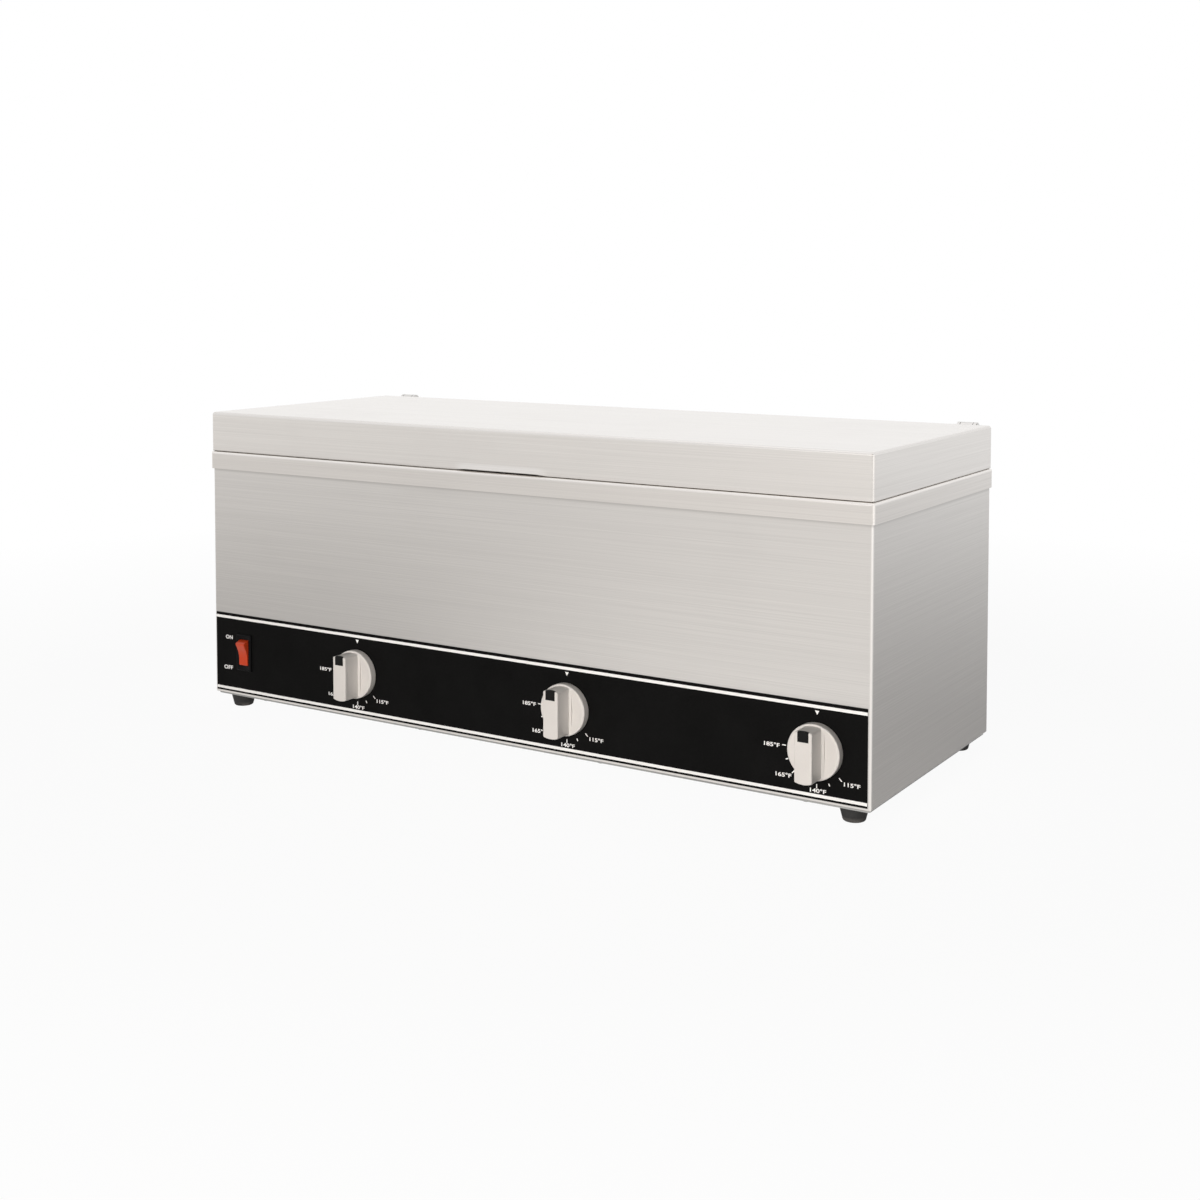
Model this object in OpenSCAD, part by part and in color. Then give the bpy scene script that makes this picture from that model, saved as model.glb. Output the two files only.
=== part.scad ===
// Countertop sauce warmer: three heated wells in a folded stainless casing under one hinged lid.
// Millimetres, Z up, front towards -Y, floor at z = 0 under the feet.

/* [Casing] */
// Width of the folded body across its sides
body_w = 607; // [590:1:700]
// Depth of the body from front face to rear face
body_d = 231; // [222:1:280]
// Height of the body from its bottom edge to the deck top
body_h = 208.6; // [190:0.2:240]
// Thickness of the stainless sheet
sheet = 1; // [0.8:0.1:1.4]
// Outside radius of the folded edges
bend_r = 2.5; // [1.8:0.1:4]
// Width of the flange turned in along the bottom edge
bottom_flange = 26; // [24:1:32]
// Width of the flanges turned in at the rear edges
rear_return = 46; // [44:1:60]
// Height of the deck's turned-down collar
collar_h = 14.9; // [13:0.1:25]
// Gap between the collar and the body inside it
collar_fit = 0.3; // [0.2:0.05:0.6]
// Distance of the base plate's edge from the body's outside
base_inset = 2; // [1:0.5:4]
// Height of the base plate's turned-up rear flange
base_flange_h = 22; // [18:1:30]

/* [Rear panel] */
// Distance of the rear panel's ends from the body's sides
panel_inset = 4; // [3:0.5:8]
// Gap between the rear panel and the collar above it
panel_gap = 0.5; // [0.3:0.1:2]
// Width of one vent slot
vent_w = 4; // [3:0.5:6]
// Length of one vent slot
vent_l = 42; // [25:1:60]
// Spacing of the vent slots
vent_pitch = 12; // [9:0.5:16]
// Vent slots in one group
vent_count = 9; // [5:1:11]
// Distance of each vent group from the middle
vent_x = 120; // [90:1:150]
// Height of the vent slots' middle above the body's bottom edge
vent_z = 92; // [70:1:120]

/* [Lid] */
// Height of the lid
lid_h = 32.4; // [26:0.1:45]
// Gap between the closed lid and the deck
lid_gap = 1; // [0.8:0.1:3]
// Step from the collar's face back to the lid's face
lid_step = 0.66; // [0.3:0.02:2]
// Width of the hem turned in along the lid's lower edge
lid_hem = 11; // [10:0.5:16]
// Width of the finger pull
pull_w = 84; // [60:1:140]
// Reach of the finger pull beyond the lid's face
pull_reach = 1.2; // [1:0.1:8]
// Height of the finger pull above the lid's lower edge
pull_rise = 1.5; // [0.5:0.1:3]
// Slit cut beside each end of the finger pull
pull_slit = 0.6; // [0.4:0.1:2]
// Radius of a lid bumper
bumper_r = 4; // [3:0.1:4.8]
// Distance of the lid bumpers from the lid's ends
bumper_in = 60; // [50:1:120]
// Running gap under a lid bumper
bumper_gap = 0.3; // [0.2:0.05:0.6]

/* [Hinges] */
// Distance of each hinge from the body's side
hinge_in = 22; // [21:0.5:25]
// Distance of the hinge pivot behind the body
hinge_back = 9; // [8:0.1:14]
// Distance of the hinge pivot below the lid's top
hinge_drop = 4; // [3:0.1:8]
// Radius of the hinge knuckles
knuckle_r = 5; // [4:0.1:5.4]
// Width of the lug on the lid
lug_w = 10; // [8:0.5:12]
// Length of the lug's root on the lid below the pivot
lug_root = 16; // [12:0.5:22]
// Thickness of the hinge bracket's plate
leaf = 2.5; // [2:0.1:2.6]
// Side gap between the lug and the bracket's ears
hinge_gap = 0.4; // [0.3:0.05:0.8]
// Radius of the hinge pin
pin_r = 2; // [1.5:0.1:2.6]
// Radial clearance of the hinge pin in its bores
pin_fit = 0.05; // [0.03:0.01:0.1]
// Width of the hinge bracket's foot
hinge_foot_w = 38; // [36:1:40]
// Spacing of the two screws in a hinge bracket's foot
hinge_screw_pitch = 28; // [26.5:0.5:30]

/* [Wells and pans] */
// Distance of the end wells' middles from the body's sides
bay_in = 100; // [98:0.5:112]
// Width of a pan over its rim
pan_w = 162; // [140:1:170]
// Length of a pan over its rim
pan_l = 176; // [150:1:190]
// Depth of a pan from its rim to its underside
pan_depth = 100; // [65:1:110]
// Wall of a pan
pan_t = 0.8; // [0.6:0.1:1.2]
// Width of a pan's rim
rim_w = 11; // [9:0.5:14]
// Height of a pan's rim over the deck
rim_h = 4.5; // [3:0.1:8]
// Radius of a pan's rolled rim edge
rim_edge_r = 2; // [1.5:0.1:2.8]
// Corner radius of a pan's mouth
pan_corner_r = 18; // [13:0.5:24]
// Draw-in of a pan's wall from mouth to floor
pan_taper = 9; // [4:0.5:14]
// Radius between a pan's wall and floor
pan_floor_r = 12; // [8:0.5:16]
// Gap round a pan's mouth in the well
well_fit = 2; // [1:0.1:4]
// Space under a pan in the well
well_space = 3; // [1:0.5:8]
// Width of the well's flange under the deck
well_flange = 8; // [6:0.5:10]

/* [Heaters] */
// Distance of a heater plate's edge from the well's wall
heater_in = 12; // [8:0.5:24]
// Thickness of a heater plate
heater_t = 6; // [4:0.5:12]
// Radius of the stud that holds a heater plate
stud_r = 3; // [2:0.1:4]
// Radial clearance of a stud in its hole
stud_fit = 0.1; // [0.05:0.01:0.3]
// Thickness of the nut on a heater stud
stud_nut_t = 5; // [3:0.5:7]
// Radius of a heater terminal
terminal_r = 2.5; // [2:0.1:4]
// Length of a heater terminal
terminal_l = 12; // [8:0.5:18]
// Spacing of the two terminals on a heater
terminal_pitch = 60; // [40:1:80]

/* [Temperature sensors] */
// Radius of a sensor bulb
bulb_r = 3; // [2.5:0.1:4]
// Length of a sensor bulb
bulb_l = 64; // [50:1:80]
// Radial clearance of a bulb in its sleeve
bulb_fit = 0.1; // [0.05:0.01:0.3]
// Wall of the bulb's sleeve on the well
sleeve_t = 1; // [0.8:0.1:1.5]
// Length of the bulb's sleeve
sleeve_l = 44; // [30:1:48]
// Height of the sleeve above the well's underside
sleeve_up = 40; // [20:1:70]
// Radius of the capillary tube
capillary_r = 1; // [0.8:0.1:1.5]

/* [Control panel] */
// Thickness of the control overlay
overlay_t = 0.5; // [0.3:0.1:1]
// Distance of the overlay's edges from the body's folds
overlay_edge = 0.1; // [0.1:0.1:4]
// Height of the overlay
overlay_h = 67.4; // [60:0.1:74]
// Height of the knob axes above the body's bottom edge
knob_z = 36.5; // [30:0.1:40]
// Distance of each knob axis right of its well's middle
knob_shift = 60.5; // [50:0.5:66]

/* [Thermostats] */
// Width and height of a thermostat's case
stat_w = 36; // [32:1:44]
// Depth of a thermostat's case
stat_d = 38; // [36:1:46]
// Radius of the thermostat's bush
bush_r = 4.8; // [4.4:0.1:5.5]
// Reach of the bush beyond the overlay
bush_out = 3.2; // [2.6:0.1:3.4]
// Thickness of the bush nut
bush_nut_t = 2.4; // [1.6:0.1:2.5]
// Size of the bush nut across its corners
bush_nut_d = 18; // [15:0.5:20]
// Radial clearance of the bush in the panel
bush_fit = 0.3; // [0.2:0.05:0.6]
// Radius of the spindle
spindle_r = 3; // [2.5:0.1:3.5]
// Distance of the spindle's flat from its axis
spindle_flat = 1.6; // [1.2:0.1:2.2]
// Radial clearance of the spindle in its bores
spindle_fit = 0.05; // [0.03:0.01:0.1]
// Depth of the spindle's seat inside the thermostat
spindle_seat = 8; // [5:0.5:14]
// Reach of the spindle beyond the overlay
spindle_out = 14.5; // [10:0.5:18]

/* [Knobs] */
// Running gap between a knob and the overlay
knob_gap = 0.4; // [0.3:0.05:1]
// Height of a knob from its back to its grip
knob_h = 22; // [20:0.5:28]
// Radius of the knob's round skirt
skirt_r = 19.5; // [18.5:0.1:23]
// Height of the skirt
skirt_h = 6.2; // [5.6:0.1:8]
// Rounding of the skirt's front edge
skirt_edge_r = 1.8; // [0.6:0.1:2]
// Width of the grip bar
grip_w = 13; // [11:0.1:14]
// Length of the grip bar
grip_l = 36.4; // [32:0.1:38.5]
// Rounding of the grip bar's front edges
grip_edge_r = 1; // [0.6:0.1:2]
// Slope between the grip bar and the skirt
grip_slope = 1.2; // [1:0.1:3.4]
// Radius of the hollow in the knob's back
hollow_r = 11.5; // [10.5:0.1:14]
// Depth of the hollow in the knob's back
hollow_d = 3.6; // [3.4:0.1:4.4]
// Width of the knob's pointer
pointer_w = 8.2; // [4:0.1:9.4]
// Length of the knob's pointer
pointer_l = 7.4; // [4:0.1:10]
// Depth of the pointer in the grip bar
pointer_t = 1.8; // [1:0.1:3]
// Side gap of the pointer in its notch
pointer_fit = 0.05; // [0.03:0.01:0.2]

/* [Power switch] */
// Distance of the switch from the body's left side
switch_in = 35.5; // [24:0.5:60]
// Height of the switch above the body's bottom edge
switch_z = 38; // [30:0.5:44]
// Width of the switch's bezel
bezel_w = 16.4; // [16:0.1:20]
// Height of the switch's bezel
bezel_h = 31; // [30:0.1:34]
// Thickness of the bezel
bezel_t = 2; // [1.5:0.1:3]
// Width of the switch's case behind the panel
case_w = 14.8; // [14.4:0.1:15.4]
// Height of the switch's case behind the panel
case_h = 28; // [27.4:0.1:29]
// Depth of the switch's case behind the panel
case_d = 24; // [20:0.5:32]
// Gap round the switch's case in the panel
case_fit = 0.2; // [0.1:0.05:0.4]
// Width of the rocker
rocker_w = 9.6; // [8.6:0.1:11.6]
// Radius swept by the rocker's ends
rocker_r = 11; // [10:0.1:12.4]
// Gap round the rocker in the switch
rocker_gap = 0.4; // [0.3:0.05:0.6]
// Distance of the rocker's pivot behind the bezel's face
rocker_in = 2.5; // [2:0.1:4]
// Distance of the rocker's middle in front of its pivot
rocker_face = 3; // [2.6:0.1:4.5]
// Depth of the rocker behind its pivot
rocker_back = 5; // [4:0.1:7]
// Angle between OFF and ON
rocker_throw = 26; // [16:1:30]
// Radius of the rocker's stub axles
stub_r = 1.5; // [1:0.1:1.8]
// Length of a stub axle inside the case's wall
stub_l = 0.9; // [0.6:0.05:1]
// Radial clearance of the stub axles
stub_fit = 0.05; // [0.03:0.01:0.1]

/* [Feet] */
// Height of a foot
foot_h = 11; // [9:0.5:20]
// Radius of a foot at the base plate
foot_top_r = 10.6; // [9.6:0.1:12]
// Radius of a foot at the floor
foot_low_r = 7.8; // [7.2:0.1:9]
// Distance of the feet from the body's sides
foot_in_x = 18.5; // [15:0.5:20]
// Distance of the feet from the body's front and rear faces
foot_in_y = 15; // [15:0.5:20]
// Depth of the screw's counterbore in a foot
foot_sink = 6; // [4:0.5:7]
// Radius of the screw's counterbore in a foot
foot_sink_r = 4.6; // [4.2:0.1:5.5]

/* [Fasteners] */
// Radius of the small screws
screw_r = 1.6; // [1.2:0.1:1.8]
// Radius of the small screws' heads
screw_head_r = 3; // [2.6:0.1:3.4]
// Height of the small screws' heads
screw_head_h = 2; // [1.4:0.1:2.4]
// Length of the small screws past the last sheet
screw_past = 4; // [2:0.5:6]
// Clearance round a screw in its holes
screw_fit = 0.1; // [0.05:0.01:0.2]
// Radius of the foot screws
foot_screw_r = 2; // [1.6:0.1:2.4]
// Radius of the foot screws' heads
foot_head_r = 4; // [3.4:0.1:4.1]
// Height of the foot screws' heads
foot_head_h = 3; // [2:0.1:3.4]
// Thickness of the nut on a foot screw
foot_nut_t = 3.2; // [2.4:0.1:4]
// Size of the nut on a foot screw across its corners
foot_nut_d = 8; // [7:0.5:9]
// Distance of the outer base screws from the body's sides
base_screw_in = 51.5; // [45:0.5:60]
// Step from the outer to the inner base screws
base_screw_step = 167; // [140:1:190]
// Distance of the base screws from the body's edge
base_screw_edge = 9; // [8:0.5:12]
// Distance of the rear panel's screws from the body's sides
panel_screw_in = 18; // [14:0.5:26]
// Height of the lowest rear panel screw above the body's bottom edge
panel_screw_z = 26; // [20:1:40]
// Spacing of the rear panel's screws up its ends
panel_screw_step = 70; // [60:1:72]
// Distance of the low rear panel screws from the middle
panel_low_x = 130; // [80:1:160]

/* [Cord gland] */
// Distance of the gland from the body's right side
gland_in = 96; // [80:1:140]
// Height of the gland above the body's bottom edge
gland_z = 46; // [44:1:60]
// Radius of the gland's cord bore
gland_bore_r = 4.2; // [3:0.1:5]
// Radius of the gland's shank
gland_shank_r = 8; // [7:0.1:9]
// Clearance round the shank in the rear panel
gland_fit = 0.2; // [0.1:0.05:0.4]
// Size of the gland's hexagon across its corners
gland_hex_d = 24; // [21:0.5:28]
// Thickness of the gland's hexagon
gland_hex_t = 5; // [4:0.5:6]
// Length of the gland's dome nut
gland_dome_l = 7; // [5:0.5:7.5]
// Length of the shank inside the casing
gland_in_l = 10; // [7:0.5:14]
// Thickness of the gland's locknut
locknut_t = 4; // [3:0.5:6]

/* [Terminal block] */
// Length of the terminal block
block_l = 52; // [40:1:70]
// Width of the terminal block
block_w = 20; // [16:1:26]
// Height of the terminal block
block_h = 16; // [12:1:22]
// Poles of the terminal block
block_poles = 3; // [2:1:5]
// Thickness of the walls between the poles
block_wall = 2; // [1.5:0.1:3]
// Distance of the terminal block in front of the rear face
block_back = 52; // [46:1:80]

/* [Hidden] */
$fn = 64;
hull_fn = 32;
skin = 0.02;
bays = [-1, 0, 1];
sides = [-1, 1];

// Levels up the object
z_base = foot_h;
z_body = z_base + sheet;
z_deck = z_body + body_h;
z_collar = z_deck - collar_h;
z_lid = z_deck + lid_gap;
z_top = z_lid + lid_h;
z_knob = z_body + knob_z;
z_switch = z_body + switch_z;
z_pivot = z_top - hinge_drop;

// Outlines from the body outwards, whose wrap ends below the deck's bend
wrap_h = body_h - bend_r;
collar_over = sheet + collar_fit;
collar_w = body_w + 2 * collar_over;
collar_d = body_d + 2 * collar_over;
lid_w = collar_w - 2 * lid_step;
lid_d = collar_d - 2 * lid_step;

// Depth stations, with the whole object centred on y = 0
front_reach = overlay_t + knob_gap + knob_h;
gland_reach = sheet + gland_hex_t + gland_dome_l;
rear_reach = max(hinge_back + knuckle_r, gland_reach);
y_front = front_reach - (front_reach + body_d + rear_reach) / 2;
y_rear = y_front + body_d;
y_mid = (y_front + y_rear) / 2;
y_face = y_front - overlay_t;
y_collar = y_mid + collar_d / 2;
y_lid_rear = y_mid + lid_d / 2;
y_pivot = y_rear + hinge_back;

// Wells and pans
bay_pitch = body_w / 2 - bay_in;
basin_w = pan_w - 2 * rim_w;
basin_l = pan_l - 2 * rim_w;
well_w = basin_w + 2 * well_fit;
well_l = basin_l + 2 * well_fit;
well_corner_r = pan_corner_r + well_fit;
z_pan = z_deck + rim_h - pan_depth;
z_well = z_pan - well_space - sheet;
z_sleeve = z_well + sleeve_up;
y_well_front = y_mid - well_l / 2 - sheet;
sleeve_r = bulb_r + bulb_fit + sleeve_t;
y_sleeve = y_well_front - sleeve_r + sleeve_t / 2;
z_heater = z_well - heater_t;

// Hinges
hinge_x = body_w / 2 - hinge_in;
ear_x = lug_w / 2 + hinge_gap + leaf / 2;
hinge_screw_z = z_collar + collar_h / 2;
hinge_screw_l = leaf + collar_over + sheet + screw_past;

// Controls
switch_x = -body_w / 2 + switch_in;
z_rocker = bezel_t - rocker_in;
mouth_w = rocker_w + 2 * rocker_gap;
mouth_h = 2 * (rocker_r + rocker_gap);

// Fastener places
foot_x = body_w / 2 - foot_in_x;
foot_y = body_d / 2 - foot_in_y;
base_screw_x = body_w / 2 - base_screw_in;
base_screw_xs = [for (s = sides, k = [0, 1]) s * (base_screw_x - k * base_screw_step)];
base_screw_y = -body_d / 2 + base_screw_edge;
panel_screw_x = body_w / 2 - panel_screw_in;
panel_screw_zs = [for (k = [0 : 2]) z_body + panel_screw_z + k * panel_screw_step];
panel_low_z = z_base + base_flange_h / 2;
gland_x = body_w / 2 - gland_in;

// Rectangle with four rounded corners, centred
module round_rect(w, d, r) {
  square([w - 2 * r, d], center = true);
  square([w, d - 2 * r], center = true);
  for (sx = sides, sy = sides)
    translate([sx * (w / 2 - r), sy * (d / 2 - r)]) circle(r);
}

// Rectangle standing on y = 0 with its two upper corners rounded
module arch_rect(w, h, r) {
  translate([-w / 2, 0]) square([w, h - r]);
  translate([-w / 2 + r, 0]) square([w - 2 * r, h]);
  for (s = sides)
    translate([s * (w / 2 - r), h - r]) circle(r);
}

// Box folded from sheet: rounded upright edges and rounded top edges
module bent_box(w, d, h, r) {
  intersection() {
    linear_extrude(h) round_rect(w, d, r);
    rotate([90, 0, 0]) linear_extrude(d, center = true) arch_rect(w, h, r);
    rotate([90, 0, 90]) linear_extrude(w, center = true) arch_rect(d, h, r);
  }
}

// Places a shape drawn in (y, z) and gives it a width along x
module across(width) {
  rotate([90, 0, 90]) linear_extrude(width, center = true) children();
}

// Places a shape drawn facing +z so that it faces out of the front panel
module on_panel(x, z) {
  translate([x, y_face, z]) rotate([90, 0, 0]) children();
}

// Round-ended slot, standing upright
module slot(w, l) {
  square([w, l - w], center = true);
  for (s = sides)
    translate([0, s * (l - w) / 2]) circle(w / 2);
}

// Screw with its head above z = 0 and its shank below
module screw(r, head_r, head_h, length) {
  cylinder(r = head_r, h = head_h);
  translate([0, 0, -length]) cylinder(r = r, h = length + head_h / 2);
}

// Bent front and sides, with flanges turned in at the bottom and the rear
module body_wrap() {
  color("silver") difference() {
    translate([0, y_mid, z_body]) difference() {
      translate([0, 0, wrap_h]) mirror([0, 0, 1])
        bent_box(body_w, body_d, wrap_h, bend_r);
      translate([0, 0, body_h]) mirror([0, 0, 1])
        bent_box(body_w - 2 * sheet, body_d - 2 * sheet, body_h - sheet, bend_r - sheet);
      translate([0, bottom_flange, 0])
        cube([body_w - 2 * bottom_flange, body_d, 3 * sheet], center = true);
      translate([0, body_d / 2, body_h / 2])
        cube([body_w - 2 * rear_return, 2 * bottom_flange, body_h + sheet], center = true);
    }
    for (b = bays)
      on_panel(b * bay_pitch + knob_shift, z_knob)
        cylinder(r = bush_r + bush_fit, h = 4 * sheet + 4 * overlay_t, center = true);
    on_panel(switch_x, z_switch)
      cube([case_w + 2 * case_fit, case_h + 2 * case_fit, 4 * sheet + 4 * overlay_t], center = true);
    translate([0, y_mid, z_body]) base_screw_holes();
    translate([0, y_mid, z_body]) foot_screw_holes();
    hinge_screw_holes();
    panel_end_holes();
  }
}

// Holes for the small screws that hold the base plate
module base_screw_holes() {
  for (x = base_screw_xs)
    translate([x, base_screw_y, 0]) cylinder(r = screw_r + screw_fit, h = 6 * sheet, center = true);
  for (s = sides)
    translate([s * (body_w / 2 - base_screw_edge), 0, 0])
      cylinder(r = screw_r + screw_fit, h = 6 * sheet, center = true);
}

// Holes for the screws that hold the feet
module foot_screw_holes() {
  for (sx = sides, sy = sides)
    translate([sx * foot_x, sy * foot_y, 0])
      cylinder(r = foot_screw_r + screw_fit, h = 6 * sheet, center = true);
}

// Holes for the hinge screws through the collar and the rear returns
module hinge_screw_holes() {
  for (s = sides, k = sides)
    translate([s * hinge_x + k * hinge_screw_pitch / 2, y_rear, hinge_screw_z])
      rotate([90, 0, 0]) cylinder(r = screw_r + screw_fit, h = 4 * (leaf + collar_over), center = true);
}

// Holes for the screws up both ends of the rear panel
module panel_end_holes() {
  for (s = sides, z = panel_screw_zs)
    translate([s * panel_screw_x, y_rear, z]) rotate([90, 0, 0])
      cylinder(r = screw_r + screw_fit, h = 6 * sheet, center = true);
}

// Holes for the screws into the base plate's rear flange
module panel_low_holes() {
  for (s = sides)
    translate([s * panel_low_x, y_rear, panel_low_z]) rotate([90, 0, 0])
      cylinder(r = screw_r + screw_fit, h = 6 * sheet, center = true);
}

// Flat panel over the rear opening, with two groups of vent slots
module rear_panel() {
  panel_h = z_collar - panel_gap - z_body;
  color("silver") difference() {
    translate([-body_w / 2 + panel_inset, y_rear, z_body])
      cube([body_w - 2 * panel_inset, sheet, panel_h]);
    for (s = sides, k = [0 : vent_count - 1])
      translate([s * vent_x + (k - (vent_count - 1) / 2) * vent_pitch, y_rear, z_body + vent_z])
        rotate([90, 0, 0]) linear_extrude(4 * sheet, center = true) slot(vent_w, vent_l);
    translate([gland_x, y_rear, z_body + gland_z]) rotate([90, 0, 0])
      cylinder(r = gland_shank_r + gland_fit, h = 4 * sheet, center = true);
    panel_end_holes();
    panel_low_holes();
  }
}

// Flat base with a rear edge turned up inside the rear panel
module base_plate() {
  flange_w = body_w - 2 * rear_return - 2 * base_inset;
  color("darkgray") difference() {
    union() {
      translate([0, y_mid, z_base]) linear_extrude(sheet)
        round_rect(body_w - 2 * base_inset, body_d - 2 * base_inset, bend_r);
      translate([-flange_w / 2, y_rear - sheet, z_base]) cube([flange_w, sheet, base_flange_h]);
      translate([-flange_w / 2, y_rear - base_inset - bend_r, z_base])
        cube([flange_w, base_inset + bend_r, sheet]);
    }
    translate([0, y_mid, z_body]) base_screw_holes();
    translate([0, y_mid, z_body]) foot_screw_holes();
    panel_low_holes();
  }
}

// Deck with three cut-outs and a collar turned down over the body
module top_deck() {
  color("silver") difference() {
    translate([0, y_mid, z_collar]) difference() {
      bent_box(collar_w, collar_d, collar_h, bend_r);
      translate([0, 0, -sheet])
        bent_box(collar_w - 2 * sheet, collar_d - 2 * sheet, collar_h, bend_r - sheet);
    }
    for (b = bays)
      translate([b * bay_pitch, y_mid, z_deck - 2 * sheet])
        linear_extrude(4 * sheet) round_rect(well_w, well_l, well_corner_r);
    hinge_screw_holes();
  }
}

// Welded well under one cut-out, with a heater stud and a sleeve for the sensor bulb
module well(bay) {
  depth = z_deck - sheet - z_well;
  color("lightgray") translate([bay * bay_pitch, 0, 0]) difference() {
    union() {
      translate([0, y_mid, z_well]) linear_extrude(depth)
        round_rect(well_w + 2 * sheet, well_l + 2 * sheet, well_corner_r + sheet);
      translate([0, y_mid, z_deck - 2 * sheet]) linear_extrude(sheet)
        round_rect(well_w + 2 * well_flange, well_l + 2 * well_flange, well_corner_r + well_flange);
      translate([0, y_mid, z_heater - stud_nut_t - stud_r])
        cylinder(r = stud_r, h = heater_t + stud_nut_t + stud_r + sheet / 2);
      translate([0, y_sleeve, z_sleeve]) rotate([0, 90, 0])
        cylinder(r = sleeve_r, h = sleeve_l, center = true);
    }
    translate([0, y_mid, z_well + sheet]) linear_extrude(depth)
      round_rect(well_w, well_l, well_corner_r);
    translate([0, y_sleeve, z_sleeve]) rotate([0, 90, 0])
      cylinder(r = bulb_r + bulb_fit, h = sleeve_l + 2 * sheet, center = true);
  }
}

// Solid of a pan's basin, drawn in by the given wall
module basin(wall, z_low, z_high) {
  r_mouth = pan_corner_r - wall;
  r_floor = pan_floor_r - wall;
  draw = pan_taper + wall + r_floor;
  hull() for (sx = sides, sy = sides) {
    translate([sx * (basin_w / 2 - pan_corner_r), sy * (basin_l / 2 - pan_corner_r), z_high - sheet])
      cylinder(r = r_mouth, h = sheet, $fn = hull_fn);
    translate([sx * (basin_w / 2 - draw), sy * (basin_l / 2 - draw), z_low + r_floor])
      sphere(r = r_floor, $fn = hull_fn);
  }
}

// Drawn pan that hangs by its rolled rim
module pan(bay) {
  color("whitesmoke") translate([bay * bay_pitch, y_mid, 0]) difference() {
    union() {
      translate([0, 0, z_deck]) difference() {
        bent_box(pan_w, pan_l, rim_h, rim_edge_r);
        translate([0, 0, -pan_t])
          bent_box(pan_w - 2 * pan_t, pan_l - 2 * pan_t, rim_h, rim_edge_r - pan_t);
      }
      basin(0, z_pan, z_deck + rim_h - pan_t / 2);
    }
    basin(pan_t, z_pan + pan_t, z_deck + rim_h + sheet);
  }
}

// Cast heater plate with two terminals, held up by the well's stud
module heater(bay) {
  color("gray") translate([bay * bay_pitch, y_mid, z_heater]) difference() {
    union() {
      linear_extrude(heater_t)
        round_rect(well_w - 2 * heater_in, well_l - 2 * heater_in, well_corner_r);
      for (s = sides)
        translate([s * terminal_pitch / 2, 0, -terminal_l])
          cylinder(r = terminal_r, h = terminal_l + heater_t / 2);
    }
    cylinder(r = stud_r + stud_fit, h = 3 * heater_t, center = true);
  }
}

// Nuts on the three heater studs
module heater_nuts() {
  color("darkgray") for (b = bays)
    translate([b * bay_pitch, y_mid, z_heater - stud_nut_t]) difference() {
      cylinder(r = 2 * stud_r, h = stud_nut_t, $fn = 6);
      cylinder(r = stud_r + stud_fit, h = 3 * stud_nut_t, center = true);
    }
}

// Sensor bulb in the well's sleeve and its capillary down to the thermostat
module sensor(bay) {
  z_stat_top = z_knob + stat_w / 2;
  color("goldenrod") translate([bay * bay_pitch, y_sleeve, z_sleeve]) {
    rotate([0, 90, 0]) cylinder(r = bulb_r, h = bulb_l, center = true);
    rotate([0, 90, 0]) cylinder(r = capillary_r, h = knob_shift);
    translate([knob_shift, 0, 0]) sphere(capillary_r);
    translate([knob_shift, 0, z_stat_top - z_sleeve])
      cylinder(r = capillary_r, h = z_sleeve - z_stat_top);
  }
}

// Thermostat case behind the panel with its bush through it
module thermostat(bay) {
  back = overlay_t + sheet;
  color("dimgray") on_panel(bay * bay_pitch + knob_shift, z_knob) difference() {
    union() {
      translate([0, 0, -back - stat_d]) linear_extrude(stat_d) round_rect(stat_w, stat_w, bend_r);
      translate([0, 0, -back - sheet]) cylinder(r = bush_r, h = back + sheet + bush_out);
    }
    translate([0, 0, -back - spindle_seat])
      cylinder(r = spindle_r + spindle_fit, h = back + spindle_seat + 2 * bush_out);
  }
}

// Nuts that clamp the three bushes to the panel
module thermostat_nuts() {
  color("lightgray") for (b = bays)
    on_panel(b * bay_pitch + knob_shift, z_knob) difference() {
      cylinder(r = bush_nut_d / 2, h = bush_nut_t, $fn = 6);
      cylinder(r = bush_r + screw_fit, h = 3 * bush_nut_t, center = true);
    }
}

// Round shaft outline with a flat on its upper side
module flat_shaft(r, flat) {
  intersection() {
    circle(r);
    translate([-2 * r, -2 * r]) square([4 * r, 2 * r + flat]);
  }
}

// Thermostat spindle, flatted where the knob grips it
module spindle(bay) {
  back = overlay_t + sheet;
  round_l = back + spindle_seat - spindle_fit + bush_out;
  color("khaki") on_panel(bay * bay_pitch + knob_shift, z_knob) {
    translate([0, 0, -back - spindle_seat + spindle_fit]) cylinder(r = spindle_r, h = round_l);
    translate([0, 0, bush_out - sheet])
      linear_extrude(spindle_out - bush_out + sheet) flat_shaft(spindle_r, spindle_flat);
  }
}

// Control knob: round skirt, grip bar with sloped foot, hollow back and flatted bore
module knob(bay) {
  color("gainsboro") on_panel(bay * bay_pitch + knob_shift, z_knob) difference() {
    translate([0, 0, knob_gap]) union() {
      rotate_extrude() {
        square([skirt_r - skirt_edge_r, skirt_h]);
        square([skirt_r, skirt_h - skirt_edge_r]);
        translate([skirt_r - skirt_edge_r, skirt_h - skirt_edge_r]) circle(skirt_edge_r);
      }
      intersection() {
        cylinder(r = grip_l / 2, h = knob_h);
        union() {
          rotate([90, 0, 0]) linear_extrude(grip_l, center = true)
            arch_rect(grip_w, knob_h, grip_edge_r);
          rotate([90, 0, 0]) linear_extrude(grip_l, center = true) grip_foot();
        }
      }
    }
    translate([0, 0, knob_gap - sheet]) cylinder(r = hollow_r, h = hollow_d + sheet);
    linear_extrude(spindle_out + spindle_fit)
      flat_shaft(spindle_r + spindle_fit, spindle_flat + spindle_fit);
    translate([-pointer_w / 2, grip_l / 2 - pointer_l, knob_gap + knob_h - pointer_t])
      cube([pointer_w, grip_l, knob_h]);
  }
}

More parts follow.
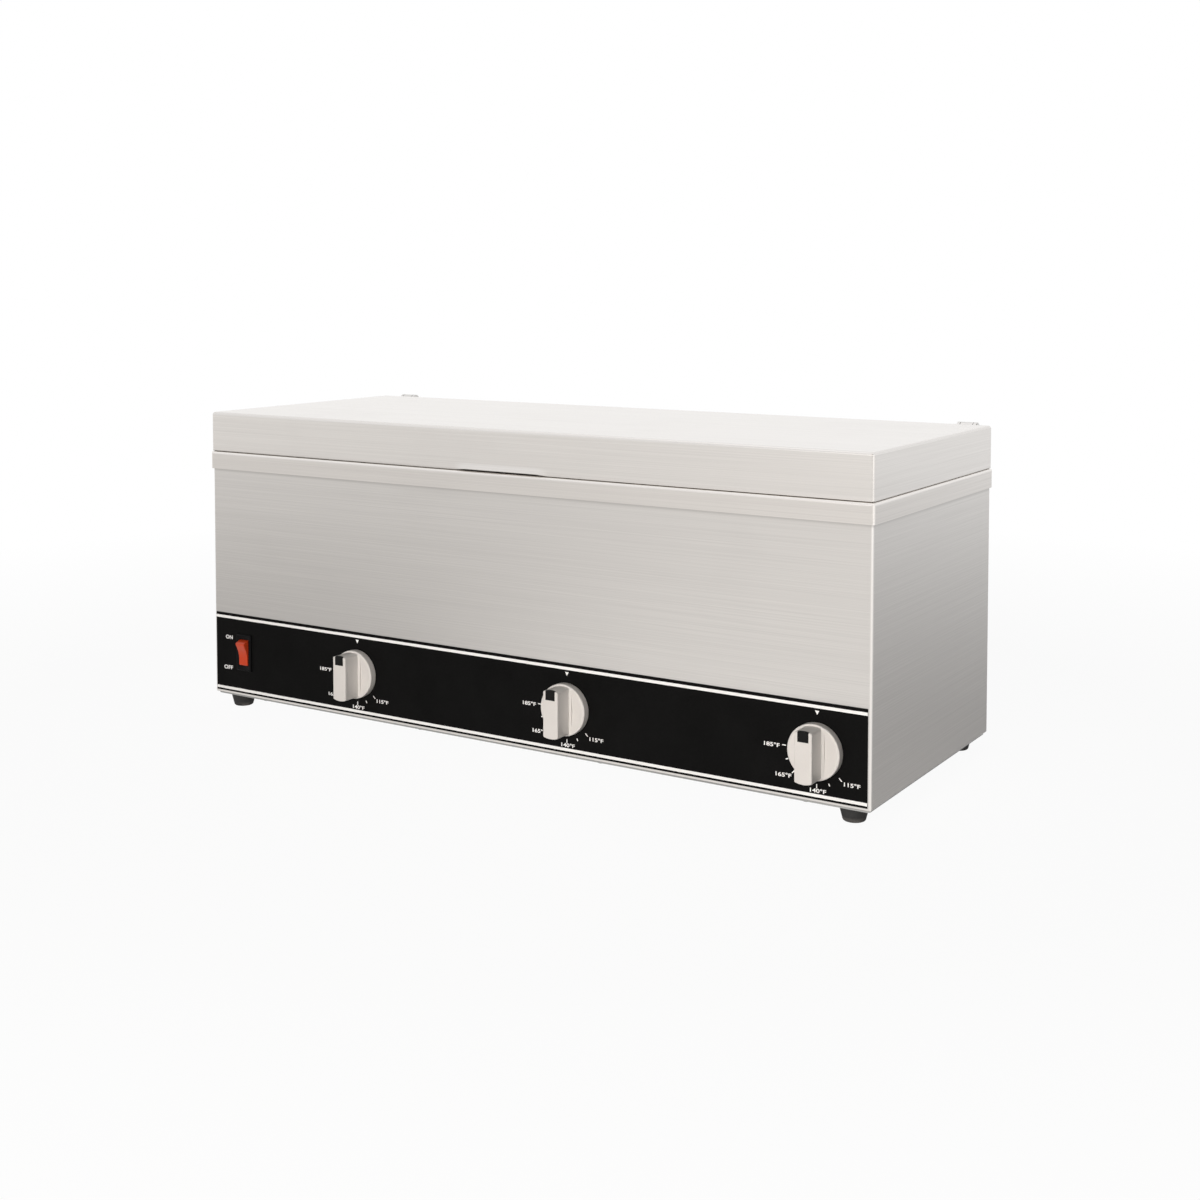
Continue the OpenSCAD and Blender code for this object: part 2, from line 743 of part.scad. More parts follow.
// Cross-section of the grip bar's sloped foot, down through the skirt
module grip_foot() {
  half = grip_w / 2;
  polygon([
    [-half - grip_slope, 0], [half + grip_slope, 0], [half + grip_slope, skirt_h],
    [half, skirt_h + grip_slope], [-half, skirt_h + grip_slope], [-half - grip_slope, skirt_h]
  ]);
}

// Dark pointer set flush into the end of the grip bar
module pointer(bay) {
  color("black") on_panel(bay * bay_pitch + knob_shift, z_knob)
    translate([0, 0, knob_gap + knob_h - pointer_t]) intersection() {
      cylinder(r = grip_l / 2, h = pointer_t);
      translate([-pointer_w / 2 + pointer_fit, grip_l / 2 - pointer_l + pointer_fit, 0])
        cube([pointer_w - 2 * pointer_fit, pointer_l, pointer_t]);
    }
}

// Printed overlay along the foot of the front
module control_overlay() {
  margin = bend_r + overlay_edge;
  overlay_w = body_w - 2 * margin;
  color("black") difference() {
    translate([-overlay_w / 2, y_face, z_body + margin]) cube([overlay_w, overlay_t, overlay_h]);
    for (b = bays)
      on_panel(b * bay_pitch + knob_shift, z_knob)
        cylinder(r = bush_r + bush_fit, h = 4 * overlay_t, center = true);
    on_panel(switch_x, z_switch)
      cube([case_w + 2 * case_fit, case_h + 2 * case_fit, 4 * overlay_t], center = true);
  }
}

// Switch case with a bezel on the overlay and bearings for the rocker
module switch_case() {
  cavity = rocker_r + rocker_gap;
  color("black") on_panel(switch_x, z_switch) difference() {
    union() {
      linear_extrude(bezel_t) round_rect(bezel_w, bezel_h, bezel_t / 2);
      translate([-case_w / 2, -case_h / 2, -case_d]) cube([case_w, case_h, case_d + bezel_t / 2]);
    }
    translate([-mouth_w / 2, -mouth_h / 2, z_rocker - cavity]) cube([mouth_w, mouth_h, 2 * cavity]);
    translate([0, 0, z_rocker]) rotate([0, 90, 0])
      cylinder(r = stub_r + stub_fit, h = mouth_w + 2 * stub_l + 2 * stub_fit, center = true);
  }
}

// Two-faced rocker on stub axles, tipped to OFF
module rocker() {
  half_throw = rocker_throw / 2;
  lift = rocker_face + rocker_r * tan(half_throw);
  color("orangered") on_panel(switch_x, z_switch) translate([0, 0, z_rocker]) {
    across(rocker_w) rotate(half_throw) intersection() {
      circle(rocker_r);
      polygon([
        [-rocker_r, lift], [0, rocker_face], [rocker_r, lift],
        [rocker_r, -rocker_back], [-rocker_r, -rocker_back]
      ]);
    }
    rotate([0, 90, 0]) cylinder(r = stub_r, h = mouth_w + 2 * stub_l, center = true);
  }
}

// Tapered rubber foot with a counterbored screw hole
module foot(sx, sy) {
  color("black") translate([sx * foot_x, y_mid + sy * foot_y, 0]) difference() {
    cylinder(r1 = foot_low_r, r2 = foot_top_r, h = foot_h);
    cylinder(r = foot_screw_r + screw_fit, h = 3 * foot_h, center = true);
    translate([0, 0, -foot_h]) cylinder(r = foot_sink_r, h = foot_h + foot_sink);
  }
}

// Screws up through the feet, base plate and bottom flange
module foot_screws() {
  grip = foot_h - foot_sink + 2 * sheet + foot_nut_t + foot_screw_r / 2;
  color("lightgray") for (sx = sides, sy = sides)
    translate([sx * foot_x, y_mid + sy * foot_y, foot_sink]) mirror([0, 0, 1])
      screw(foot_screw_r, foot_head_r, foot_head_h, grip);
}

// Nuts on the foot screws, on top of the bottom flange
module foot_nuts() {
  color("lightgray") for (sx = sides, sy = sides)
    translate([sx * foot_x, y_mid + sy * foot_y, z_body + sheet]) difference() {
      cylinder(r = foot_nut_d / 2, h = foot_nut_t, $fn = 6);
      cylinder(r = foot_screw_r + screw_fit, h = 3 * foot_nut_t, center = true);
    }
}

// Screws up through the base plate into the bottom flange
module base_screws() {
  places = concat(
    [for (x = base_screw_xs) [x, base_screw_y]],
    [for (s = sides) [s * (body_w / 2 - base_screw_edge), 0]]
  );
  color("lightgray") for (p = places)
    translate([p[0], y_mid + p[1], z_base]) mirror([0, 0, 1])
      screw(screw_r, screw_head_r, screw_head_h, 2 * sheet + screw_past);
}

// Screws through the rear panel
module panel_screws() {
  places = concat(
    [for (s = sides, z = panel_screw_zs) [s * panel_screw_x, z]],
    [for (s = sides) [s * panel_low_x, panel_low_z]]
  );
  color("lightgray") for (p = places)
    translate([p[0], y_rear + sheet, p[1]]) rotate([-90, 0, 0])
      screw(screw_r, screw_head_r, screw_head_h, 2 * sheet + screw_past);
}

// Folded lid with a hemmed edge and a finger pull bent out at the front
module lid_shell() {
  notch_w = pull_w + 2 * pull_slit;
  notch_h = pull_rise + sheet + pull_reach;
  color("gainsboro") translate([0, y_mid, z_lid]) {
    difference() {
      bent_box(lid_w, lid_d, lid_h, bend_r);
      translate([0, 0, sheet])
        bent_box(lid_w - 2 * sheet, lid_d - 2 * sheet, lid_h - 2 * sheet, bend_r - sheet);
      translate([0, 0, -sheet]) linear_extrude(3 * sheet)
        square([lid_w - 2 * lid_hem, lid_d - 2 * lid_hem], center = true);
      translate([-notch_w / 2, -lid_d / 2 - sheet, -sheet])
        cube([notch_w, lid_hem + 2 * sheet, notch_h + sheet]);
    }
    translate([0, -lid_d / 2 - pull_reach, notch_h]) across(pull_w) pull_section();
  }
}

// Section of the finger pull: the lid's front curls out to a level lip
module pull_section() {
  curl_r = pull_reach + sheet;
  intersection() {
    difference() {
      circle(curl_r);
      circle(pull_reach);
    }
    translate([0, -curl_r]) square(curl_r);
  }
  translate([pull_reach, -skin]) square([sheet, sheet]);
}

// Soft pads under the lid's hem
module lid_bumpers() {
  pad_x = lid_w / 2 - bumper_in;
  pad_y = lid_d / 2 - lid_hem / 2;
  color("dimgray") for (sx = sides, sy = sides)
    translate([sx * pad_x, y_mid + sy * pad_y, z_deck + bumper_gap])
      cylinder(r = bumper_r, h = lid_gap - bumper_gap);
}

// Bracket on the collar's rear face with two ears for the hinge pin
module hinge_bracket(side) {
  foot_gap = sheet;
  color("dimgray") difference() {
    translate([side * hinge_x, 0, 0]) union() {
      translate([-hinge_foot_w / 2, y_collar, z_collar + foot_gap])
        cube([hinge_foot_w, leaf, collar_h - 2 * foot_gap]);
      for (s = sides)
        translate([s * ear_x, 0, 0]) across(leaf) ear_section(z_collar + foot_gap);
    }
    hinge_screw_holes();
    translate([side * hinge_x, y_pivot, z_pivot]) rotate([0, 90, 0])
      cylinder(r = pin_r + pin_fit, h = hinge_foot_w, center = true);
  }
}

// Side view of a hinge ear, from the collar up to the knuckle
module ear_section(z_low) {
  translate([y_pivot, z_pivot]) circle(knuckle_r);
  polygon([
    [y_collar, z_low], [y_collar, z_deck - sheet], [y_pivot - knuckle_r, z_pivot],
    [y_pivot + knuckle_r, z_pivot], [y_collar + 2 * leaf, z_low]
  ]);
}

// Lug welded to the lid's rear wall, between the bracket's ears
module hinge_lug(side) {
  color("dimgray") translate([side * hinge_x, 0, 0]) difference() {
    union() {
      across(lug_w) lug_arm();
      translate([0, y_pivot, z_pivot]) rotate([0, 90, 0])
        cylinder(r = knuckle_r, h = lug_w, center = true);
    }
    translate([0, y_pivot, z_pivot]) rotate([0, 90, 0])
      cylinder(r = pin_r + pin_fit, h = 2 * lug_w, center = true);
  }
}

// Side view of the lug's arm, from its root on the lid to the knuckle
module lug_arm() {
  polygon([
    [y_lid_rear, z_pivot - lug_root], [y_lid_rear, z_top - bend_r],
    [y_pivot, z_pivot + knuckle_r / 2], [y_pivot, z_pivot - knuckle_r / 2]
  ]);
}

// Headed hinge pin through both ears and the lug
module hinge_pin(side) {
  reach = ear_x + leaf / 2;
  color("lightgray") translate([side * hinge_x, y_pivot, z_pivot])
    rotate([0, side * 90, 0]) {
      translate([0, 0, -reach - sheet]) cylinder(r = pin_r, h = 2 * reach + sheet);
      translate([0, 0, reach]) cylinder(r = knuckle_r - sheet, h = sheet);
    }
}

// Screws that hold the hinge brackets
module hinge_screws() {
  color("lightgray") for (s = sides, k = sides)
    translate([s * hinge_x + k * hinge_screw_pitch / 2, y_collar + leaf, hinge_screw_z])
      rotate([-90, 0, 0]) screw(screw_r, screw_head_r, screw_head_h, hinge_screw_l);
}

// Cord gland through the rear panel
module cord_gland() {
  bore_l = gland_reach + gland_in_l;
  color("dimgray") translate([gland_x, y_rear + sheet, z_body + gland_z]) rotate([-90, 0, 0])
    difference() {
      union() {
        cylinder(r = gland_hex_d / 2, h = gland_hex_t, $fn = 6);
        translate([0, 0, gland_hex_t]) rotate_extrude() {
          square([gland_shank_r, gland_dome_l]);
          square([gland_shank_r + sheet, gland_dome_l - sheet]);
          translate([gland_shank_r, gland_dome_l - sheet]) circle(sheet);
        }
        translate([0, 0, -sheet - gland_in_l])
          cylinder(r = gland_shank_r, h = sheet + gland_in_l + gland_hex_t / 2);
      }
      cylinder(r = gland_bore_r, h = 3 * bore_l, center = true);
    }
}

// Locknut on the gland's shank inside the rear panel
module gland_locknut() {
  color("dimgray") translate([gland_x, y_rear, z_body + gland_z]) rotate([90, 0, 0])
    difference() {
      cylinder(r = gland_hex_d / 2, h = locknut_t, $fn = 6);
      cylinder(r = gland_shank_r + gland_fit, h = 3 * locknut_t, center = true);
    }
}

// Mains terminal block standing on the base plate
module terminal_block() {
  bay_w = (block_l - block_wall) / block_poles;
  color("ivory") translate([gland_x - block_l / 2, y_rear - block_back, z_body]) difference() {
    cube([block_l, block_w, block_h]);
    for (k = [0 : block_poles - 1])
      translate([block_wall + k * bay_w, -block_wall, block_h / 2])
        cube([bay_w - block_wall, block_w + 2 * block_wall, block_h]);
  }
}

body_wrap();
rear_panel();
base_plate();
top_deck();
control_overlay();
well(-1);  // well_left
well(0);  // well_middle
well(1);  // well_right
pan(-1);  // pan_left
pan(0);  // pan_middle
pan(1);  // pan_right
heater(-1);  // heater_left
heater(0);  // heater_middle
heater(1);  // heater_right
heater_nuts();
sensor(-1);  // sensor_left
sensor(0);  // sensor_middle
sensor(1);  // sensor_right
thermostat(-1);  // thermostat_left
thermostat(0);  // thermostat_middle
thermostat(1);  // thermostat_right
thermostat_nuts();
spindle(-1);  // spindle_left
spindle(0);  // spindle_middle
spindle(1);  // spindle_right
knob(-1);  // knob_left
knob(0);  // knob_middle
knob(1);  // knob_right
pointer(-1);  // pointer_left
pointer(0);  // pointer_middle
pointer(1);  // pointer_right
switch_case();
rocker();
foot(-1, -1);  // foot_front_left
foot(1, -1);  // foot_front_right
foot(-1, 1);  // foot_rear_left
foot(1, 1);  // foot_rear_right
foot_screws();
foot_nuts();
base_screws();
panel_screws();
lid_shell();
lid_bumpers();
hinge_bracket(-1);  // hinge_bracket_left
hinge_bracket(1);  // hinge_bracket_right
hinge_lug(-1);  // hinge_lug_left
hinge_lug(1);  // hinge_lug_right
hinge_pin(-1);  // hinge_pin_left
hinge_pin(1);  // hinge_pin_right
hinge_screws();
cord_gland();
gland_locknut();
terminal_block();
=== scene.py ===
# Looks of a countertop sauce warmer: a folded stainless casing with three pans under one hinged lid.
# Metres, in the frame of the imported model: front towards -Y, floor at z = 0 under the feet.
import math

import bmesh
import bpy
from mathutils import Matrix, Vector


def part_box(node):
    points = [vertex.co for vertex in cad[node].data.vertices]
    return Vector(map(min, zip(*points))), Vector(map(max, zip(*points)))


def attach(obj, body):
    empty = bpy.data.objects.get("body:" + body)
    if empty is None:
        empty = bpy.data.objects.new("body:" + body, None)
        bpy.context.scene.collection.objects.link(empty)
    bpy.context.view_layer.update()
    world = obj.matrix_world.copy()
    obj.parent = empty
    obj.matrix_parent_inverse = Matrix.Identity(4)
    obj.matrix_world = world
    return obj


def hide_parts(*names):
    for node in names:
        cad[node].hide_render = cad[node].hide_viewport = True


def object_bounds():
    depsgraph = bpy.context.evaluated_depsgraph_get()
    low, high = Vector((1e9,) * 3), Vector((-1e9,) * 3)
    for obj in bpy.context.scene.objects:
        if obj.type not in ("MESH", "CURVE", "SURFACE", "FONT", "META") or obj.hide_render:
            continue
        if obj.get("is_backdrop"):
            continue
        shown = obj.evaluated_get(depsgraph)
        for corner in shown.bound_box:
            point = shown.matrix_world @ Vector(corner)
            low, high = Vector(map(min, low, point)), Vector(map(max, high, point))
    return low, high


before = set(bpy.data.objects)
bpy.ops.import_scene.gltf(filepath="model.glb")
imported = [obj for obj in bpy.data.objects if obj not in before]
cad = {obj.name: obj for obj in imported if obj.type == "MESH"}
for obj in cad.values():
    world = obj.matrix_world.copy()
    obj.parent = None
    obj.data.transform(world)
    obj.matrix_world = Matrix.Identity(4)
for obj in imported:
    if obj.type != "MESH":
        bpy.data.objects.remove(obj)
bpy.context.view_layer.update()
MM = 0.001


# Base plate: the flat floor of the casing, cut from plain stainless sheet and screwed up to it.
# Little of it shows, so it keeps its mill finish: dull, with coarse streaks from the rolls.
def effect_group(name, inputs, outputs):
    """A shader node group with number inputs and outputs."""
    group = bpy.data.node_groups.new(name, "ShaderNodeTree")
    for socket, value in inputs.items():
        made = group.interface.new_socket(socket, in_out="INPUT", socket_type="NodeSocketFloat")
        made.default_value = value
    for socket in outputs:
        group.interface.new_socket(socket, in_out="OUTPUT", socket_type="NodeSocketFloat")
    return group, group.nodes.new("NodeGroupInput"), group.nodes.new("NodeGroupOutput")


def feed(tree, socket, value):
    """Links a socket to another one, or sets it to a number."""
    if isinstance(value, bpy.types.NodeSocket):
        tree.links.new(value, socket)
    else:
        socket.default_value = value


def math_node(tree, operation, first, second=0.0, clamp=False):
    """One Math node; each input is a socket or a number."""
    node = tree.nodes.new("ShaderNodeMath")
    node.operation = operation
    node.use_clamp = clamp
    for socket, value in zip(node.inputs, (first, second)):
        feed(tree, socket, value)
    return node.outputs[0]


def spread(tree, value, from_low, from_high, to_low, to_high):
    """Maps a socket's range onto another one; the new ends are sockets or numbers."""
    node = tree.nodes.new("ShaderNodeMapRange")
    tree.links.new(value, node.inputs["Value"])
    node.inputs["From Min"].default_value = from_low
    node.inputs["From Max"].default_value = from_high
    feed(tree, node.inputs["To Min"], to_low)
    feed(tree, node.inputs["To Max"], to_high)
    return node.outputs["Result"]


def scaled(tree, vector, scale):
    """A vector socket times a number socket."""
    node = tree.nodes.new("ShaderNodeVectorMath")
    node.operation = "SCALE"
    tree.links.new(vector, node.inputs[0])
    tree.links.new(scale, node.inputs["Scale"])
    return node.outputs[0]


def noise(tree, vector, scale, detail, roughness=0.5):
    """A noise texture's value along a vector."""
    node = tree.nodes.new("ShaderNodeTexNoise")
    node.inputs["Scale"].default_value = scale
    node.inputs["Detail"].default_value = detail
    node.inputs["Roughness"].default_value = roughness
    tree.links.new(vector, node.inputs["Vector"])
    return node.outputs["Fac"]


LEVEL_FROM = 0.7
FINE_SHARE = 0.93
FLAT_FROM = 0.995
PATCH_CONTRAST = 4.0


def brushed_group():
    """Level brush lines on upright faces, and lines along X on level ones."""
    tree, given, out = effect_group("brushed_lines", {"Lines": 2400.0, "Drift": 6.0}, ("Tone", "Height"))
    coord = tree.nodes.new("ShaderNodeTexCoord")
    facing = tree.nodes.new("ShaderNodeSeparateXYZ")
    tree.links.new(coord.outputs["Normal"], facing.inputs[0])
    level = math_node(tree, "GREATER_THAN", math_node(tree, "ABSOLUTE", facing.outputs["Z"]), LEVEL_FROM)
    stretch = tree.nodes.new("ShaderNodeCombineXYZ")
    tree.links.new(given.outputs["Drift"], stretch.inputs["X"])
    across_y = spread(tree, level, 0, 1, given.outputs["Drift"], given.outputs["Lines"])
    across_z = spread(tree, level, 0, 1, given.outputs["Lines"], given.outputs["Drift"])
    tree.links.new(across_y, stretch.inputs["Y"])
    tree.links.new(across_z, stretch.inputs["Z"])
    along = tree.nodes.new("ShaderNodeVectorMath")
    along.operation = "MULTIPLY"
    tree.links.new(coord.outputs["Object"], along.inputs[0])
    tree.links.new(stretch.outputs[0], along.inputs[1])
    fine = noise(tree, along.outputs[0], 1.0, 3.0, 0.6)
    broad = noise(tree, along.outputs[0], 0.12, 2.0)
    tone = math_node(tree, "MULTIPLY", fine, FINE_SHARE)
    tone = math_node(tree, "ADD", tone, math_node(tree, "MULTIPLY", broad, 1.0 - FINE_SHARE))
    tree.links.new(spread(tree, tone, 0.3, 0.7, 0, 1), out.inputs["Tone"])
    tree.links.new(fine, out.inputs["Height"])
    return tree


def bend_group():
    """1 along folded edges, where the surface turns between two flats."""
    tree, given, out = effect_group("folded_edges", {"Width": 0.12}, ("Mask",))
    coord = tree.nodes.new("ShaderNodeTexCoord")
    size = tree.nodes.new("ShaderNodeVectorMath")
    size.operation = "ABSOLUTE"
    tree.links.new(coord.outputs["Normal"], size.inputs[0])
    parts = tree.nodes.new("ShaderNodeSeparateXYZ")
    tree.links.new(size.outputs[0], parts.inputs[0])
    flat = math_node(tree, "MAXIMUM", parts.outputs["X"], parts.outputs["Y"])
    flat = math_node(tree, "MAXIMUM", flat, parts.outputs["Z"])
    turned = math_node(tree, "SUBTRACT", FLAT_FROM, flat)
    share = math_node(tree, "DIVIDE", turned, given.outputs["Width"], clamp=True)
    tree.links.new(share, out.inputs["Mask"])
    return tree


def handled_group():
    """Soft patches left by hands and wiping cloths."""
    tree, given, out = effect_group("handled_patches", {"Size": 9.0, "Share": 0.5}, ("Mask",))
    coord = tree.nodes.new("ShaderNodeTexCoord")
    patch = noise(tree, scaled(tree, coord.outputs["Object"], given.outputs["Size"]), 1.0, 4.0, 0.55)
    low = math_node(tree, "SUBTRACT", 1.0, given.outputs["Share"])
    over = math_node(tree, "SUBTRACT", patch, low)
    tree.links.new(math_node(tree, "MULTIPLY", over, PATCH_CONTRAST, clamp=True), out.inputs["Mask"])
    return tree


def band_group():
    """1 between two heights, fading out over a soft edge."""
    tree, given, out = effect_group("level_band", {"Low": 0.0, "High": 0.01, "Soft": 0.001}, ("Mask",))
    coord = tree.nodes.new("ShaderNodeTexCoord")
    place = tree.nodes.new("ShaderNodeSeparateXYZ")
    tree.links.new(coord.outputs["Object"], place.inputs[0])
    over = math_node(tree, "SUBTRACT", place.outputs["Z"], given.outputs["Low"])
    under = math_node(tree, "SUBTRACT", given.outputs["High"], place.outputs["Z"])
    inside = math_node(tree, "MINIMUM", over, under)
    share = math_node(tree, "DIVIDE", inside, given.outputs["Soft"])
    tree.links.new(math_node(tree, "ADD", share, 1.0, clamp=True), out.inputs["Mask"])
    return tree


def effect(tree, group, **values):
    """Places a group in a material with its own values."""
    node = tree.nodes.new("ShaderNodeGroup")
    node.node_tree = group
    for name, value in values.items():
        node.inputs[name].default_value = value
    return node.outputs


def ramp(tree, value, first, last):
    """Turns a number from 0 to 1 into a colour between two."""
    node = tree.nodes.new("ShaderNodeValToRGB")
    tree.links.new(value, node.inputs["Fac"])
    for element, colour in zip(node.color_ramp.elements, (first, last)):
        element.color = (*colour, 1.0)
    return node.outputs["Color"]


def tint_stain_and_light(tree, colour, stain_and_painted_light, mask):
    """A colour that turns to a second one where a mask is 1; it serves stains and dust, and painted
    highlight and shade.
    """
    node = tree.nodes.new("ShaderNodeMix")
    node.data_type = "RGBA"
    tree.links.new(mask, node.inputs["Factor"])
    tree.links.new(colour, node.inputs["A"])
    node.inputs["B"].default_value = (*stain_and_painted_light, 1.0)
    return node.outputs["Result"]


def bump(tree, shader, height, distance, strength=1.0):
    """Feeds a height to a shader's normal."""
    node = tree.nodes.new("ShaderNodeBump")
    node.inputs["Distance"].default_value = distance
    node.inputs["Strength"].default_value = strength
    tree.links.new(height, node.inputs["Height"])
    tree.links.new(node.outputs["Normal"], shader.inputs["Normal"])


def new_material(name, **constants):
    """A node material with one Principled shader, and its constant sockets set."""
    made = bpy.data.materials.new(name)
    made.use_nodes = True
    shader = made.node_tree.nodes["Principled BSDF"]
    for socket, value in constants.items():
        shader.inputs[socket.replace("_", " ")].default_value = value
    return made, made.node_tree, shader


brushed_lines = brushed_group()
folded_edges = bend_group()
handled_patches = handled_group()
level_band = band_group()
BRUSH_DEPTH = 0.0025 * MM
BRUSH_ROUGH = 0.04
BRUSH_SMOOTH = 0.03
# Bends are lightened by this share of tone: partly wear, partly painted highlight.
BEND_WEAR_AND_HIGHLIGHT = 0.3
BEND_SMOOTH = 0.06
PATCH_SHARE = 0.46
PATCH_SHADE = 0.22
PATCH_ROUGH = 0.04
STAIN_AND_SHADE_SHARE = 0.7


def brushed_steel(name, dark, light, roughness, lines=2400.0, worn_and_highlight=None, stain_and_painted_light=None, **band):
    """Brushed sheet, line by line, with wiping patches; bends lightened and given a lighter colour if
    asked, partly wear and partly painted highlight; and a tinted band if asked, which serves for a stain or
    for painted shade.
    """
    made, tree, shader = new_material(name, Metallic=1.0)
    grain = effect(tree, brushed_lines, Lines=lines)
    bend = effect(tree, folded_edges)["Mask"]
    patch = effect(tree, handled_patches, Share=PATCH_SHARE)["Mask"]
    tone = math_node(tree, "ADD", grain["Tone"], math_node(tree, "MULTIPLY", bend, BEND_WEAR_AND_HIGHLIGHT))
    tone = math_node(tree, "SUBTRACT", tone, math_node(tree, "MULTIPLY", patch, PATCH_SHADE))
    colour = ramp(tree, tone, dark, light)
    if worn_and_highlight:
        colour = tint_stain_and_light(tree, colour, worn_and_highlight, bend)
    # The band tints the colour: a real heat stain on the wells, painted shade under the casing's collar.
    if stain_and_painted_light:
        mask = math_node(tree, "MULTIPLY", effect(tree, level_band, **band)["Mask"], STAIN_AND_SHADE_SHARE)
        colour = tint_stain_and_light(tree, colour, stain_and_painted_light, mask)
    tree.links.new(colour, shader.inputs["Base Color"])
    rough = spread(tree, grain["Tone"], 0, 1, roughness + BRUSH_ROUGH, roughness - BRUSH_SMOOTH)
    rough = math_node(tree, "ADD", rough, math_node(tree, "MULTIPLY", patch, PATCH_ROUGH))
    rough = math_node(tree, "SUBTRACT", rough, math_node(tree, "MULTIPLY", bend, BEND_SMOOTH))
    tree.links.new(rough, shader.inputs["Roughness"])
    bump(tree, shader, grain["Height"], BRUSH_DEPTH)
    return made


def dress(material, *nodes):
    """Gives CAD nodes that keep their shape a finish."""
    for name in nodes:
        slots = cad[name].data.materials
        slots.clear()
        slots.append(material)


base_steel = brushed_steel("base_steel", (0.36, 0.36, 0.355), (0.48, 0.48, 0.47), 0.5, lines=160.0)
dress(base_steel, "base_plate")


# Feet: four tapered rubber feet, moulded in black with a counterbore for the screw from below.
# The floor edge is rounded off by wear and holds a little pale dust.
def moulded_group():
    """Fine grain of a spark-eroded mould, and slow drifts of tone."""
    tree, given, out = effect_group("moulded_grain", {"Grain": 2600.0, "Drift": 40.0}, ("Tone", "Height"))
    coord = tree.nodes.new("ShaderNodeTexCoord")
    fine = noise(tree, scaled(tree, coord.outputs["Object"], given.outputs["Grain"]), 1.0, 2.0)
    slow = noise(tree, scaled(tree, coord.outputs["Object"], given.outputs["Drift"]), 1.0, 3.0)
    both = math_node(tree, "ADD", fine, slow)
    tree.links.new(spread(tree, both, 0.6, 1.4, 0, 1), out.inputs["Tone"])
    tree.links.new(fine, out.inputs["Height"])
    return tree


moulded_grain = moulded_group()
GRAIN_ROUGH = 0.05
GRAIN_STRENGTH = 0.6


def moulded(name, dark, light, roughness, grain=2600.0, depth=0.03 * MM, **constants):
    """A moulded or cast surface with fine grain."""
    made, tree, shader = new_material(name, **constants)
    grain_out = effect(tree, moulded_grain, Grain=grain)
    tone = grain_out["Tone"]
    tree.links.new(ramp(tree, tone, dark, light), shader.inputs["Base Color"])
    rough = spread(tree, tone, 0, 1, roughness + GRAIN_ROUGH, roughness - GRAIN_ROUGH)
    tree.links.new(rough, shader.inputs["Roughness"])
    bump(tree, shader, grain_out["Height"], depth, GRAIN_STRENGTH)
    return made


TINY = 0.001 * MM


def lathe(corners, steps=48):
    """A shape spun round Z; each corner is (radius, height) and, if it is rounded, how far that reaches."""
    shape = bmesh.new()
    points = [shape.verts.new((corner[0], 0.0, corner[1])) for corner in corners]
    for pair in zip(points, points[1:]):
        shape.edges.new(pair)
    if corners[0][0] > 0.0:
        shape.edges.new((points[-1], points[0]))
    for point, corner in zip(points, corners):
        if len(corner) == 3:
            bmesh.ops.bevel(shape, geom=[point], offset=corner[2], segments=4, profile=0.5,
                            affect="VERTICES", material=-1)
    bmesh.ops.spin(shape, geom=shape.verts[:] + shape.edges[:], axis=(0.0, 0.0, 1.0), cent=(0.0, 0.0, 0.0),
                   angle=math.tau, steps=steps, use_merge=True)
    bmesh.ops.remove_doubles(shape, verts=shape.verts[:], dist=TINY)
    bmesh.ops.recalc_face_normals(shape, faces=shape.faces[:])
    return shape


SHARP = math.radians(32.0)


def finish_piece(mesh, name, material, body, slot, *nodes):
    """Makes a piece from a bmesh, smooth except at sharp edges, and puts it on its body."""
    bmesh.ops.dissolve_degenerate(mesh, dist=TINY, edges=mesh.edges[:])
    data = bpy.data.meshes.new(name)
    mesh.to_mesh(data)
    mesh.free()
    data.materials.append(material)
    data.shade_smooth()
    data.set_sharp_from_angle(angle=SHARP)
    piece = bpy.data.objects.new(name, data)
    bpy.context.scene.collection.objects.link(piece)
    flats = piece.modifiers.new("level_flats", "WEIGHTED_NORMAL")
    flats.keep_sharp = True
    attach(piece, body)
    if nodes:
        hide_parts(*nodes)


foot_rubber = moulded("foot_rubber", (0.012, 0.012, 0.012), (0.03, 0.03, 0.03), 0.7, grain=1400.0)
DUST = (0.1, 0.095, 0.09)
tree = foot_rubber.node_tree
shader = tree.nodes["Principled BSDF"]
dust = effect(tree, level_band, Low=-1.0 * MM, High=1.0 * MM, Soft=3.0 * MM)["Mask"]
dust = math_node(tree, "MULTIPLY", dust, effect(tree, handled_patches, Size=120.0, Share=0.7)["Mask"])
dusty = tint_stain_and_light(tree, shader.inputs["Base Color"].links[0].from_socket, DUST, dust)
tree.links.new(dusty, shader.inputs["Base Color"])
FOOT_TOP_R = 10.6 * MM
FOOT_LOW_R = 7.8 * MM
FOOT_EDGE = 0.5 * MM
FOOT_WEAR = 1.2 * MM
SINK_R = 4.6 * MM
SINK_DEPTH = 6.0 * MM
FOOT_HOLE_R = 2.1 * MM
foot_places = []
for corner in ("front_left", "front_right", "rear_left", "rear_right"):
    low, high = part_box("foot_" + corner)
    foot_h = high.z - low.z
    middle = ((low.x + high.x) / 2, (low.y + high.y) / 2, low.z)
    foot_places.append((middle[0], middle[1], low.z + SINK_DEPTH))
    foot = lathe((
        (FOOT_HOLE_R, SINK_DEPTH), (FOOT_HOLE_R, foot_h), (FOOT_TOP_R, foot_h, FOOT_EDGE),
        (FOOT_LOW_R, 0.0, FOOT_WEAR), (SINK_R, 0.0, FOOT_EDGE), (SINK_R, SINK_DEPTH),
    ))
    foot.transform(Matrix.Translation(middle))
    finish_piece(foot, "rubber_foot_" + corner, foot_rubber, "casing", "foot_rubber", "foot_" + corner)


